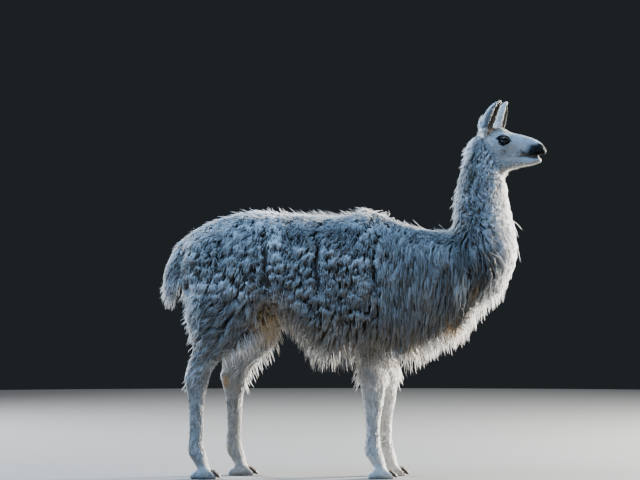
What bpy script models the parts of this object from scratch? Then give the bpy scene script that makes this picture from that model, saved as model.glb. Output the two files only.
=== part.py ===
"""A standing llama in full fleece, life size: head turned a little to its right, mouth a little open.

Metres. +X is towards the nose, +Y the animal's left, +Z up, and the soles stand at Z = 0.
The flesh and fleece are modelled as overlapping lofts, fused into one skin, and parted by thin cuts.
"""

import math

import bmesh
import bpy
from mathutils import Matrix, Vector

# Driving dimensions
CUT = 0.0005  # the gap between neighbouring solids
VOXEL = 0.005  # the grain at which the lofts are fused
FLEECE_TRIANGLES = 2700  # what the fused body keeps on its fleece
FINE_TRIANGLES = 1700  # and on its head and feet
RING_SIDES = 28
RING_STEP = 0.018  # the spacing of a loft's rings

FORE_X = {"right": 0.078, "left": 0.132}  # where each cannon stands
FORE_Y = 0.105
HIND_X = {"right": -0.668, "left": -0.514}
HIND_Y = 0.118
SIDES = {"right": -1, "left": 1}

KNEE_Z = 0.335
HOCK_Z = 0.400
FETLOCK_Z = 0.118
# Where a leg leaves the body: the reach of its box along the body, and its sloping top as a height,
# a tilt in degrees and the place along the body that the tilt turns about.
LEG_REACH = {"fore": (-0.004, 0.232), "hind": (-0.95, -0.288)}
LEG_TOP = {"fore": (0.457, 13, 0.100), "hind": (0.690, 14, -0.290)}
# The two planes across the neck: a point on each and its lean back from upright.
NECK_BASE = (0.520, 1.030)
NECK_BASE_TILT = -58
NECK_TOP = (0.560, 1.375)
NECK_TOP_TILT = -26
EYE_RADIUS = 0.0195
EYE_PLACE = Vector((0.634, 0.0500, 1.431))  # the left eye, before the head is turned
HEAD_YAW = math.radians(-12)
HEAD_PIVOT = Vector((0.530, 0.0, 1.400))  # the first neck joint
EAR_WALL = 0.0065
SEAT = 0.0005  # the gap round an eye, an ear, a nail or the tail in its seat

# A station of a loft: its centre, the lean of its plane from upright (90 lies flat), half its width,
# its reach over and under the centre, and how square its outline is (2 is an ellipse).
# Trunk, from the rump to the breast. The belly fleece hangs well below the body.
TRUNK = (
    (-0.742, 0, 0.900, 0, 0.050, 0.075, 0.075, 2.0),
    (-0.715, 0, 0.890, 0, 0.130, 0.130, 0.135, 2.1),
    (-0.640, 0, 0.880, 0, 0.200, 0.192, 0.200, 2.2),
    (-0.540, 0, 0.870, 0, 0.240, 0.238, 0.215, 2.3),
    (-0.420, 0, 0.860, 0, 0.262, 0.270, 0.210, 2.4),
    (-0.300, 0, 0.840, 0, 0.272, 0.279, 0.180, 2.4),
    (-0.225, 0, 0.810, 0, 0.280, 0.305, 0.235, 2.5),
    (-0.150, 0, 0.780, 0, 0.285, 0.330, 0.300, 2.6),
    (-0.070, 0, 0.770, 0, 0.287, 0.338, 0.312, 2.6),
    (0.000, 0, 0.770, 0, 0.284, 0.350, 0.275, 2.6),
    (0.055, 0, 0.770, 0, 0.279, 0.374, 0.275, 2.5),
    (0.120, 0, 0.770, 0, 0.270, 0.344, 0.300, 2.5),
    (0.200, 0, 0.775, 0, 0.262, 0.306, 0.322, 2.5),
    (0.290, 0, 0.785, 0, 0.248, 0.268, 0.285, 2.4),
    (0.370, 0, 0.800, 0, 0.230, 0.245, 0.250, 2.3),
    (0.450, 0, 0.820, 0, 0.205, 0.215, 0.230, 2.2),
    (0.530, 0, 0.860, 0, 0.170, 0.150, 0.155, 2.1),
    (0.600, 0, 0.910, 0, 0.110, 0.090, 0.100, 2.0),
)
# Neck, from inside the shoulders to behind the jaw. Over is the nape, under the throat.
NECK = (
    (0.380, 0, 0.800, 35, 0.215, 0.190, 0.150, 2.1),
    (0.470, 0, 0.885, 45, 0.190, 0.160, 0.185, 2.1),
    (0.540, 0, 0.985, 60, 0.165, 0.150, 0.165, 2.1),
    (0.555, 0, 1.060, 75, 0.142, 0.140, 0.138, 2.1),
    (0.543, 0, 1.140, 88, 0.118, 0.124, 0.118, 2.1),
    (0.536, 0, 1.215, 95, 0.102, 0.112, 0.112, 2.1),
    (0.543, 0, 1.285, 98, 0.091, 0.103, 0.103, 2.1),
    (0.560, 0, 1.345, 92, 0.083, 0.098, 0.096, 2.1),
    (0.568, 0, 1.400, 80, 0.072, 0.086, 0.070, 2.1),
    (0.572, 0, 1.440, 65, 0.055, 0.050, 0.050, 2.0),
)
# Head above the mouth, from the poll to the upper lip.
SKULL = (
    (0.500, 0, 1.410, 0, 0.040, 0.030, 0.030, 2.0),
    (0.520, 0, 1.405, 0, 0.056, 0.060, 0.060, 2.0),
    (0.560, 0, 1.405, 0, 0.066, 0.076, 0.070, 2.1),
    (0.605, 0, 1.410, 0, 0.066, 0.075, 0.060, 2.1),
    (0.640, 0, 1.412, 0, 0.061, 0.062, 0.052, 2.1),
    (0.675, 0, 1.410, 0, 0.051, 0.051, 0.046, 2.1),
    (0.710, 0, 1.406, 0, 0.0420, 0.0480, 0.036, 2.1),
    (0.740, 0, 1.402, 0, 0.0375, 0.0430, 0.034, 2.2),
    (0.768, 0, 1.399, 0, 0.0365, 0.0360, 0.034, 2.2),
    (0.790, 0, 1.396, 0, 0.0345, 0.0270, 0.031, 2.2),
    (0.808, 0, 1.389, 0, 0.0280, 0.0170, 0.020, 2.1),
    (0.818, 0, 1.381, 0, 0.0160, 0.0085, 0.010, 2.0),
)
# Lower jaw, from the cheek to the lower lip.
JAW = (
    (0.545, 0, 1.365, 0, 0.050, 0.050, 0.045, 2.0),
    (0.590, 0, 1.352, 0, 0.058, 0.050, 0.052, 2.1),
    (0.640, 0, 1.348, 0, 0.050, 0.040, 0.045, 2.1),
    (0.690, 0, 1.348, 0, 0.038, 0.028, 0.033, 2.1),
    (0.725, 0, 1.346, 0, 0.0310, 0.0190, 0.021, 2.1),
    (0.760, 0, 1.343, 0, 0.0275, 0.0140, 0.0150, 2.1),
    (0.786, 0, 1.343, 0, 0.0240, 0.0135, 0.0115, 2.1),
    (0.798, 0, 1.345, 0, 0.0150, 0.0080, 0.0080, 2.0),
)
# Cheeks, which close the mouth's sides as far as its corner.
CHEEKS = (
    (0.580, 0, 1.374, 0, 0.0560, 0.030, 0.030, 2.4),
    (0.640, 0, 1.374, 0, 0.0510, 0.028, 0.028, 2.4),
    (0.680, 0, 1.374, 0, 0.0430, 0.022, 0.022, 2.4),
    (0.704, 0, 1.3745, 0, 0.0370, 0.012, 0.012, 2.3),
    (0.714, 0, 1.3745, 0, 0.0300, 0.004, 0.004, 2.0),
)
# Tail, from its root on the rump to its tip.
TAIL = (
    (-0.690, 0, 1.010, 40, 0.040, 0.025, 0.030, 2.0),
    (-0.715, 0, 0.985, 55, 0.046, 0.034, 0.034, 2.0),
    (-0.752, 0, 0.925, 72, 0.048, 0.036, 0.034, 2.0),
    (-0.778, 0, 0.865, 80, 0.045, 0.033, 0.032, 2.0),
    (-0.786, 0, 0.810, 90, 0.038, 0.027, 0.028, 2.0),
    (-0.785, 0, 0.765, 90, 0.025, 0.020, 0.021, 2.0),
    (-0.783, 0, 0.738, 90, 0.010, 0.009, 0.009, 2.0),
)
# Legs, from inside the trunk to the fetlock. Places are counted from the cannon; over is behind it.
HIND_LEG = {
    "right": (
        (0.160, 0.000, 0.820, 90, 0.126, 0.180, 0.160, 2.3),
        (0.150, 0.000, 0.745, 90, 0.122, 0.190, 0.195, 2.3),
        (0.142, 0.000, 0.680, 90, 0.112, 0.188, 0.186, 2.2),
        (0.128, 0.002, 0.610, 90, 0.096, 0.157, 0.148, 2.1),
        (0.090, 0.003, 0.550, 90, 0.076, 0.105, 0.108, 2.0),
        (0.042, 0.003, 0.505, 90, 0.055, 0.068, 0.070, 2.0),
        (0.012, 0.002, 0.450, 90, 0.045, 0.056, 0.053, 2.0),
        (0.004, 0.000, 0.395, 90, 0.040, 0.054, 0.047, 2.0),
        (0.000, 0.000, 0.330, 90, 0.034, 0.039, 0.037, 2.0),
        (0.000, 0.000, 0.220, 90, 0.030, 0.034, 0.033, 2.0),
        (-0.002, 0.000, 0.150, 90, 0.032, 0.036, 0.035, 2.0),
        (0.000, 0.000, 0.112, 90, 0.036, 0.039, 0.040, 2.0),
        (0.016, 0.000, 0.070, 75, 0.036, 0.036, 0.038, 2.0),
        (0.026, 0.000, 0.040, 70, 0.034, 0.030, 0.032, 2.0),
    ),
    "left": (
        (0.030, 0.000, 0.820, 90, 0.126, 0.160, 0.150, 2.3),
        (0.030, 0.000, 0.745, 90, 0.122, 0.180, 0.180, 2.3),
        (0.034, 0.000, 0.680, 90, 0.112, 0.185, 0.180, 2.2),
        (0.052, 0.002, 0.610, 90, 0.096, 0.150, 0.145, 2.1),
        (0.050, 0.003, 0.550, 90, 0.076, 0.112, 0.122, 2.0),
        (0.030, 0.003, 0.500, 90, 0.055, 0.078, 0.086, 2.0),
        (0.010, 0.002, 0.450, 90, 0.046, 0.064, 0.062, 2.0),
        (0.002, 0.000, 0.400, 90, 0.041, 0.060, 0.052, 2.0),
        (0.000, 0.000, 0.330, 90, 0.036, 0.041, 0.040, 2.0),
        (0.000, 0.000, 0.220, 90, 0.031, 0.035, 0.034, 2.0),
        (-0.002, 0.000, 0.150, 90, 0.032, 0.036, 0.035, 2.0),
        (0.000, 0.000, 0.112, 90, 0.036, 0.039, 0.040, 2.0),
        (0.016, 0.000, 0.070, 75, 0.036, 0.036, 0.038, 2.0),
        (0.026, 0.000, 0.040, 70, 0.034, 0.030, 0.032, 2.0),
    ),
}
FORE_LEG = (
    (0.000, -0.010, 0.700, 90, 0.080, 0.110, 0.100, 2.0),
    (0.000, -0.004, 0.600, 90, 0.074, 0.092, 0.088, 2.0),
    (0.002, 0.000, 0.520, 90, 0.066, 0.078, 0.075, 2.0),
    (0.000, 0.000, 0.440, 90, 0.056, 0.066, 0.062, 2.0),
    (0.000, 0.000, 0.375, 90, 0.049, 0.056, 0.054, 2.0),
    (0.002, 0.000, 0.320, 90, 0.043, 0.046, 0.045, 2.0),
    (-0.002, 0.000, 0.250, 90, 0.034, 0.036, 0.036, 2.0),
    (-0.002, 0.000, 0.170, 90, 0.032, 0.034, 0.034, 2.0),
    (-0.002, 0.000, 0.115, 90, 0.037, 0.040, 0.041, 2.0),
    (0.014, 0.000, 0.072, 75, 0.037, 0.037, 0.039, 2.0),
    (0.026, 0.000, 0.040, 70, 0.035, 0.031, 0.033, 2.0),
)
# One toe, from its heel pad forwards, counted from the cannon's foot point on the ground.
TOE = (
    (-0.040, 0.000, 0.012, 0, 0.009, 0.008, 0.018, 2.0),
    (-0.028, 0.000, 0.015, 0, 0.0165, 0.016, 0.021, 2.2),
    (0.000, 0.002, 0.019, 0, 0.0195, 0.027, 0.025, 2.4),
    (0.035, 0.004, 0.020, 0, 0.0200, 0.029, 0.026, 2.4),
    (0.060, 0.004, 0.017, 0, 0.0175, 0.018, 0.023, 2.3),
    (0.074, 0.002, 0.013, 0, 0.0115, 0.010, 0.018, 2.0),
)
TOE_SPREAD = 0.0225  # from the foot's middle to a toe's middle
NAIL = (
    (0.046, 0.000, 0.031, -20, 0.0105, 0.0085, 0.0100, 2.2),
    (0.062, 0.000, 0.0265, -30, 0.0125, 0.0090, 0.0110, 2.3),
    (0.078, 0.000, 0.0165, -40, 0.0095, 0.0070, 0.0090, 2.2),
    (0.088, 0.000, 0.0085, -50, 0.0045, 0.0035, 0.0050, 2.0),
)

# An ear, from its root in the head to its tip: centre, half width, depth of the cup, and how far
# round the cup wraps each way, in degrees. It opens forwards, turned that much about the vertical.
EAR = {
    "right": (
        (0.541, -0.040, 1.438, 0.0200, 0.026, 130),
        (0.544, -0.045, 1.465, 0.0230, 0.032, 125),
        (0.552, -0.050, 1.495, 0.0250, 0.036, 115),
        (0.567, -0.052, 1.527, 0.0265, 0.038, 105),
        (0.583, -0.050, 1.555, 0.0240, 0.034, 98),
        (0.600, -0.046, 1.577, 0.0170, 0.026, 92),
        (0.613, -0.042, 1.589, 0.0100, 0.016, 90),
        (0.621, -0.039, 1.595, 0.0040, 0.008, 90),
    ),
    "left": (
        (0.598, 0.038, 1.440, 0.0200, 0.026, 130),
        (0.602, 0.043, 1.468, 0.0230, 0.030, 125),
        (0.609, 0.048, 1.497, 0.0250, 0.034, 115),
        (0.620, 0.050, 1.528, 0.0265, 0.036, 105),
        (0.630, 0.049, 1.555, 0.0240, 0.033, 98),
        (0.639, 0.045, 1.575, 0.0170, 0.025, 92),
        (0.646, 0.041, 1.587, 0.0100, 0.016, 90),
        (0.651, 0.038, 1.594, 0.0040, 0.008, 90),
    ),
}
EAR_FACING = {"right": math.radians(-28), "left": math.radians(-20)}
EAR_SIDES = 8  # points across the outside of a ring, and as many across the inside


def clear_scene():
    for thing in list(bpy.data.objects):
        bpy.data.objects.remove(thing)


def material(name, colour, roughness):
    made = bpy.data.materials.new(name)
    made.use_nodes = True
    surface = made.node_tree.nodes["Principled BSDF"]
    surface.inputs["Base Color"].default_value = (*colour, 1)
    surface.inputs["Roughness"].default_value = roughness
    return made


def blend_stations(stations, spacing=RING_STEP):
    """Rings at about that spacing, on a smooth curve through the stations."""
    rings = []
    last = len(stations) - 1
    for index in range(last):
        before, start, end, after = (
            stations[max(0, min(last, index + shift))] for shift in (-1, 0, 1, 2)
        )
        span = (Vector(end[:3]) - Vector(start[:3])).length
        count = max(1, round(span / spacing))
        for step in range(count + (index == last - 1)):
            t = step / count
            rings.append(
                [
                    0.5
                    * (
                        2 * b
                        + (c - a) * t
                        + (2 * a - 5 * b + 4 * c - d) * t * t
                        + (3 * b - a - 3 * c + d) * t**3
                    )
                    for a, b, c, d in zip(before, start, end, after)
                ]
            )
    return rings


def shape_ring(circle, station):
    """Puts a unit circle's vertices on one station's outline."""
    x, y, z, lean, wide, over, under, square = station
    angle = math.radians(lean)
    up = Vector((-math.sin(angle), 0, math.cos(angle)))
    for vertex in circle:
        across, along = vertex.co.x, vertex.co.y
        across = math.copysign(abs(across) ** (2 / square), across)
        along = math.copysign(abs(along) ** (2 / square), along)
        reach = over if along > 0 else under
        vertex.co = Vector((x, y + across * wide, z)) + up * along * reach


def join_rings(mesh, loops):
    """Bridges rings of edges into a closed tube with filled ends."""
    faces = []
    for near, far in zip(loops, loops[1:]):
        faces += bmesh.ops.bridge_loops(mesh, edges=near + far)["faces"]
    for end in (loops[0], loops[-1]):
        faces += bmesh.ops.holes_fill(mesh, edges=end)["faces"]
    bmesh.ops.recalc_face_normals(mesh, faces=faces)


def ring_edges(circle):
    return list({edge for vertex in circle for edge in vertex.link_edges})


def add_loft(mesh, stations, place=None, sides=RING_SIDES, spacing=RING_STEP):
    """A closed tube through the stations, added to a bmesh."""
    loops = []
    for station in blend_stations(stations, spacing):
        circle = bmesh.ops.create_circle(mesh, segments=sides, radius=1)["verts"]
        shape_ring(circle, station)
        if place:
            bmesh.ops.transform(mesh, matrix=place, verts=circle)
        loops.append(ring_edges(circle))
    join_rings(mesh, loops)


def add_ball(mesh, centre, radii, place):
    """An ellipsoid, added to a bmesh."""
    made = bmesh.ops.create_uvsphere(mesh, u_segments=24, v_segments=14, radius=1)
    scale = Matrix.Diagonal((*radii, 1))
    bmesh.ops.transform(
        mesh, matrix=place @ Matrix.Translation(centre) @ scale, verts=made["verts"]
    )


def new_object(name, mesh, look):
    data = bpy.data.meshes.new(name)
    mesh.to_mesh(data)
    mesh.free()
    data.materials.append(look)
    made = bpy.data.objects.new(name, data)
    bpy.context.scene.collection.objects.link(made)
    return made


def turn_head():
    """The head's turn to the right about the first neck joint."""
    return (
        Matrix.Translation(HEAD_PIVOT)
        @ Matrix.Rotation(HEAD_YAW, 4, "Z")
        @ Matrix.Translation(-HEAD_PIVOT)
    )


def leg_place(side, x, y):
    """Where a leg's own stations are counted from. Its y runs outwards on both sides."""
    flip = Matrix.Diagonal((1, SIDES[side], 1, 1))
    return Matrix.Translation((x[side], SIDES[side] * y, 0)) @ flip


def feet():
    """(name, side, place) of the four legs."""
    for side in SIDES:
        yield "fore", side, leg_place(side, FORE_X, FORE_Y)
        yield "hind", side, leg_place(side, HIND_X, HIND_Y)


def toe_place(place, turn):
    """A toe's place in its foot: turn is 1 for the outer toe and -1 for the inner."""
    return place @ Matrix.Translation((0.012, turn * TOE_SPREAD, 0)) @ Matrix.Diagonal((1, turn, 1, 1))


def add_head(mesh):
    place = turn_head()
    add_loft(mesh, SKULL, place)
    add_loft(mesh, JAW, place)
    add_loft(mesh, CHEEKS, place)
    for side in SIDES.values():
        eye = Vector((EYE_PLACE.x, side * EYE_PLACE.y, EYE_PLACE.z))
        add_ball(mesh, eye + Vector((-0.002, -side * 0.006, 0.004)), (0.034, 0.023, 0.027), place)
        add_ball(mesh, Vector((0.592, side * 0.040, 1.368)), (0.050, 0.026, 0.052), place)
        add_ball(mesh, Vector((0.792, side * 0.021, 1.394)), (0.017, 0.014, 0.017), place)
    add_ball(mesh, Vector((0.610, 0, 1.464)), (0.045, 0.040, 0.020), place)


def fused_body(look):
    """Every loft of flesh and fleece as one closed mesh, with more triangles where it is small."""
    mesh = bmesh.new()
    add_loft(mesh, TRUNK)
    add_loft(mesh, NECK)
    add_head(mesh)
    for leg, side, place in feet():
        add_loft(mesh, FORE_LEG if leg == "fore" else HIND_LEG[side], place)
        for turn in (1, -1):
            add_loft(mesh, TOE, toe_place(place, turn))
    body = new_object("body_whole", mesh, look)
    fuse = body.modifiers.new("fuse", "REMESH")
    fuse.mode = "VOXEL"
    fuse.voxel_size = VOXEL
    ease = body.modifiers.new("ease", "SMOOTH")
    ease.factor = 0.5
    ease.iterations = 6
    apply_modifiers(body)
    thin_out(body)
    flatten_soles(body)
    return body


def thin_out(body):
    """Collapses the fused mesh. The head and the feet keep a finer grain than the fleece."""
    fine = [v.index for v in body.data.vertices if is_fine(v.co)]
    total = len(body.data.polygons) * 2
    kept = 2 * len(fine) + FLEECE_TRIANGLES
    collapse(body, set(range(len(body.data.vertices))) - set(fine), kept / total)
    fine = {v.index for v in body.data.vertices if is_fine(v.co)}
    collapse(body, fine, (FLEECE_TRIANGLES + FINE_TRIANGLES) / len(body.data.polygons))


def collapse(body, chosen, ratio):
    """Thins the mesh to that ratio of its triangles, only where its vertices are chosen."""
    group = body.vertex_groups.new(name="thinned")
    group.add(list(chosen), 1.0, "REPLACE")
    thin = body.modifiers.new("thin", "DECIMATE")
    thin.ratio = ratio
    thin.vertex_group = group.name
    thin.use_collapse_triangulate = True
    apply_modifiers(body)
    body.vertex_groups.clear()


def is_fine(point):
    past_jaw = (point - Vector((0.560, 0, 1.370))).dot(Vector((0.72, 0, 0.69))) > 0
    return point.z < FETLOCK_Z or (past_jaw and point.x > 0.5)


def flatten_soles(body):
    """Cuts every sole off level with the floor."""
    mesh = bmesh.new()
    mesh.from_mesh(body.data)
    geometry = mesh.verts[:] + mesh.edges[:] + mesh.faces[:]
    cut = bmesh.ops.bisect_plane(
        mesh, geom=geometry, plane_co=(0, 0, 0), plane_no=(0, 0, 1), clear_inner=True
    )
    rim = [part for part in cut["geom_cut"] if isinstance(part, bmesh.types.BMEdge)]
    bmesh.ops.holes_fill(mesh, edges=rim)
    bmesh.ops.triangulate(mesh, faces=mesh.faces[:])
    bmesh.ops.recalc_face_normals(mesh, faces=mesh.faces[:])
    mesh.to_mesh(body.data)
    mesh.free()


def apply_modifiers(thing):
    graph = bpy.context.evaluated_depsgraph_get()
    data = bpy.data.meshes.new_from_object(thing.evaluated_get(graph))
    thing.modifiers.clear()
    thing.data = data


def helper(thing):
    """A cutter shapes other pieces and isn't one itself."""
    thing.hide_render = True
    thing.display_type = "WIRE"
    return thing


def cut_box(name, low, high, tilt=0.0, hinge=(0, 0, 0)):
    """A box cutter from low to high, tilted about a line along Y through hinge, in degrees."""
    mesh = bmesh.new()
    bmesh.ops.create_cube(mesh, size=1)
    low, high = Vector(low), Vector(high)
    size = Matrix.Diagonal((*(high - low), 1))
    turn = (
        Matrix.Translation(hinge)
        @ Matrix.Rotation(math.radians(tilt), 4, "Y")
        @ Matrix.Translation(-Vector(hinge))
    )
    bmesh.ops.transform(
        mesh, matrix=turn @ Matrix.Translation((low + high) / 2) @ size, verts=mesh.verts[:]
    )
    made = helper(new_object(name, mesh, bpy.data.materials["cutter"]))
    return made


def ear(side, look):
    """A thin cup on its own curve, closed at its root and open forwards."""
    mesh = bmesh.new()
    rings = blend_stations(EAR[side], 0.022)
    loops = []
    for index, (x, y, z, wide, deep, wrap) in enumerate(rings):
        near, far = (rings[max(0, min(len(rings) - 1, index + shift))] for shift in (-1, 1))
        along = (Vector(far[:3]) - Vector(near[:3])).normalized()
        face = Vector((math.cos(EAR_FACING[side]), math.sin(EAR_FACING[side]), 0))
        face = (face - along * face.dot(along)).normalized()
        across = along.cross(face)
        circle = bmesh.ops.create_circle(mesh, segments=2 * EAR_SIDES, radius=1)["verts"]
        wall = min(EAR_WALL, 0.42 * wide)
        for number, vertex in enumerate(circle):
            outside = number < EAR_SIDES
            step = (number % EAR_SIDES) / (EAR_SIDES - 1) * 2 - 1
            angle = math.radians(wrap) * (step if outside else -step)
            inset = 0 if outside else wall
            shift = across * math.sin(angle) * (wide - inset)
            shift -= face * (math.cos(angle) * (deep - inset) - deep * 0.4)
            vertex.co = Vector((x, y, z)) + shift
        loops.append(ring_edges(circle))
    join_rings(mesh, loops)
    bmesh.ops.triangulate(mesh, faces=mesh.faces[:])
    return new_object(f"ear_{side}", mesh, look)


def eye(side, look):
    mesh = bmesh.new()
    ball = bmesh.ops.create_uvsphere(mesh, u_segments=14, v_segments=8, radius=EYE_RADIUS)
    centre = Vector((EYE_PLACE.x, SIDES[side] * EYE_PLACE.y, EYE_PLACE.z))
    level = Matrix.Rotation(math.radians(90), 4, "X")
    place = turn_head() @ Matrix.Translation(centre) @ level
    bmesh.ops.transform(mesh, matrix=place, verts=ball["verts"])
    return new_object(f"eye_{side}", mesh, look)


def nail(leg, side, part, turn, place, look):
    mesh = bmesh.new()
    add_loft(mesh, NAIL, toe_place(place, turn), sides=8, spacing=0.014)
    return new_object(f"nail_{leg}_{side}_{part}", mesh, look)


def tail(look):
    mesh = bmesh.new()
    add_loft(mesh, TAIL, sides=14, spacing=0.03)
    return new_object("tail", mesh, look)


def copy_of(source, name, look=None):
    made = bpy.data.objects.new(name, source.data.copy())
    bpy.context.scene.collection.objects.link(made)
    if look:
        made.data.materials.clear()
        made.data.materials.append(look)
    return made


def boolean(thing, cutter, operation):
    step = thing.modifiers.new(operation.lower(), "BOOLEAN")
    step.operation = operation
    step.object = cutter
    step.solver = "EXACT"


def grown(source, name, by):
    """A hidden copy, swollen by that much, to cut a seat for its source."""
    made = helper(copy_of(source, name))
    swell = made.modifiers.new("swell", "DISPLACE")
    swell.strength = by
    swell.mid_level = 0
    apply_modifiers(made)
    return made


def leg_spans():
    """(node, low, high) of every leg piece below its sloping top."""
    for leg, joint in (("fore", KNEE_Z), ("hind", HOCK_Z)):
        for side in SIDES:
            yield f"{leg}leg_{side}_foot", leg, side, None, FETLOCK_Z
            yield f"{leg}leg_{side}_lower", leg, side, FETLOCK_Z, joint
            yield f"{leg}leg_{side}_upper", leg, side, joint, None


def leg_box(name, leg, near, far, grow=0.0):
    """The space that legs take under their sloping top, between two distances to the left."""
    rear, front = LEG_REACH[leg]
    level, tilt, hinge = LEG_TOP[leg]
    box = cut_box(name, (rear - grow, near, -0.2), (front + grow, far, level))
    for corner in box.data.vertices:
        if corner.co.z > 0:
            corner.co.z += grow - (corner.co.x - hinge) * math.tan(math.radians(tilt))
    return box


def slab(name, low, high):
    """Everything between two levels."""
    return cut_box(name, (-1.2, -0.6, low), (1.2, 0.6, high))


def part_legs(body, look):
    pieces = []
    for name, leg, side, low, high in leg_spans():
        piece = copy_of(body, name, look)
        near, far = sorted((SIDES[side] * CUT / 2, SIDES[side] * 0.5))
        boolean(piece, leg_box(f"cut_{name}", leg, near, far), "INTERSECT")
        low = -0.1 if low is None else low + CUT / 2
        high = 1.3 if high is None else high - CUT / 2
        boolean(piece, slab(f"span_{name}", low, high), "INTERSECT")
        pieces.append(piece)
    return pieces


def half_space(name, hinge, tilt, grow):
    """Everything forward of a plane across the body, leaning back from upright by tilt degrees."""
    x, z = hinge
    return cut_box(name, (x + grow, -0.6, z - 1.5), (x + 2, 0.6, z + 1.5), tilt, (x, 0, z))


def part_trunk(body, look):
    """Trunk, neck and head, each side of two planes."""
    trunk = copy_of(body, "trunk", look)
    neck = copy_of(body, "neck", look)
    head = copy_of(body, "head", look)
    for leg in ("fore", "hind"):
        boolean(trunk, leg_box(f"clear_{leg}", leg, -0.5, 0.5, CUT), "DIFFERENCE")
    boolean(trunk, half_space("front_of_trunk", NECK_BASE, NECK_BASE_TILT, -CUT), "DIFFERENCE")
    boolean(neck, half_space("front_of_shoulder", NECK_BASE, NECK_BASE_TILT, 0), "INTERSECT")
    boolean(neck, half_space("front_of_neck", NECK_TOP, NECK_TOP_TILT, -CUT), "DIFFERENCE")
    boolean(head, half_space("front_of_jaw", NECK_TOP, NECK_TOP_TILT, 0), "INTERSECT")
    return trunk, neck, head


def seat(flesh, insert):
    """Cuts room for an insert out of the piece that holds it."""
    boolean(flesh, grown(insert, f"seat_{insert.name}_{flesh.name}", SEAT), "DIFFERENCE")


def main():
    clear_scene()
    material("cutter", (0.5, 0.5, 0.5), 0.5)
    fleece = material("fleece", (0.42, 0.40, 0.37), 0.95)
    short_hair = material("short_hair", (0.62, 0.60, 0.57), 0.9)
    horn = material("horn", (0.06, 0.05, 0.045), 0.45)
    glossy = material("eye", (0.02, 0.014, 0.010), 0.08)

    body = fused_body(fleece)
    trunk, neck, head = part_trunk(body, fleece)
    head.data.materials[0] = short_hair
    legs = {piece.name: piece for piece in part_legs(body, short_hair)}
    helper(body)

    seat(trunk, tail(fleece))
    for side in SIDES:
        lobe = ear(side, short_hair)
        seat(head, lobe)
        seat(neck, lobe)
        seat(head, eye(side, glossy))
    for leg, side, place in feet():
        for part, turn in (("outer", 1), ("inner", -1)):
            seat(legs[f"{leg}leg_{side}_foot"], nail(leg, side, part, turn, place, horn))


if __name__ == "__main__":
    main()
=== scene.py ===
import math
import time

import bmesh
import bpy
import numpy as np
from mathutils import Matrix, Vector
from mathutils.bvhtree import BVHTree
from mathutils.kdtree import KDTree


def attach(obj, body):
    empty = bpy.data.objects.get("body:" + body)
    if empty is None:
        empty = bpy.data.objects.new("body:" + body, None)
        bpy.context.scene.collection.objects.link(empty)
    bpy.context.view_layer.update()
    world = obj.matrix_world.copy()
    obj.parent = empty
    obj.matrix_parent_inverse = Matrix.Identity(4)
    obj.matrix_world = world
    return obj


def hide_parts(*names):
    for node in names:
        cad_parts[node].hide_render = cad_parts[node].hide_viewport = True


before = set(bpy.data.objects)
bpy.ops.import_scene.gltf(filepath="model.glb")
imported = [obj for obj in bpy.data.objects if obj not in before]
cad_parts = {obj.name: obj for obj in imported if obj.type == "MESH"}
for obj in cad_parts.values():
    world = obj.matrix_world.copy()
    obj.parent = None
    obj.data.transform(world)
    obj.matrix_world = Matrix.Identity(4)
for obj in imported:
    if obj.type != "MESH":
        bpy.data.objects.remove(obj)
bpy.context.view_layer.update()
started = time.time()


def report(stage):
    print(f"{stage}: {time.time() - started:.0f} s")


def linked(name, data):
    made = bpy.data.objects.new(name, data)
    bpy.context.scene.collection.objects.link(made)
    return made


def meshed(name, shape):
    data = bpy.data.meshes.new(name)
    shape.to_mesh(data)
    shape.free()
    return data


view = {
    "target": (-0.1475, 0.0, 1.00725),  # the middle of the frame
    "distance": 15.0,
    "frameWidth": 2.72,  # how much the frame takes in, across
}
studio = {
    "backdrop": (0.030, 0.036, 0.042),
    "backdropPower": 0.55,
    "floor": (0.14, 0.138, 0.132),
    "floorRadius": 9,
    "lights": {  # each one's place, the point it faces, its size, power and colour
        "frontFill": ((-2.4, -1.9, 6.4), (0, 0, 0.8), (5, 4), 900, (0.31, 0.58, 1.0)),
        "leftRim": ((-4.6, 4.6, 2.6), (0, 0, 0.9), (2.0, 2.0), 1250, (0.86, 0.93, 1.0)),
        "backRim": ((5.8, 3.2, 2.4), (0, 0, 0.9), (2.0, 2.0), 4500, (1.0, 0.97, 0.91)),
    },
}


def addCamera():
    data = bpy.data.cameras.new("camera")
    data.sensor_width = 36
    data.lens = 36 * view["distance"] / view["frameWidth"]
    data.clip_end = 100
    camera = linked("camera", data)
    x, y, z = view["target"]
    camera.location = (x, y - view["distance"], z)
    camera.rotation_euler = (math.radians(90), 0, 0)
    bpy.context.scene.camera = camera


def areaLight(name, place, target, size, power, colour):
    data = bpy.data.lights.new(name, "AREA")
    data.shape = "RECTANGLE"
    data.size, data.size_y = size
    data.energy = power
    data.color = colour
    light = linked(name, data)
    light.location = place
    light.rotation_euler = (Vector(place) - Vector(target)).to_track_quat("Z", "Y").to_euler()


def addStudio():
    world = bpy.data.worlds.new("studio")
    bpy.context.scene.world = world
    world.use_nodes = True
    background = world.node_tree.nodes["Background"]
    background.inputs["Color"].default_value = (*studio["backdrop"], 1)
    background.inputs["Strength"].default_value = studio["backdropPower"]
    ground = bmesh.new()
    bmesh.ops.create_circle(ground, cap_ends=True, segments=96, radius=studio["floorRadius"])
    floor = linked("floor", meshed("floor", ground))
    paint = bpy.data.materials.new("floor")
    paint.use_nodes = True
    surface = paint.node_tree.nodes["Principled BSDF"]
    surface.inputs["Base Color"].default_value = (*studio["floor"], 1)
    surface.inputs["Roughness"].default_value = 0.9
    floor.data.materials.append(paint)
    for name, facts in studio["lights"].items():
        areaLight(name, *facts)


addCamera()
addStudio()
report("studio")


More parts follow.
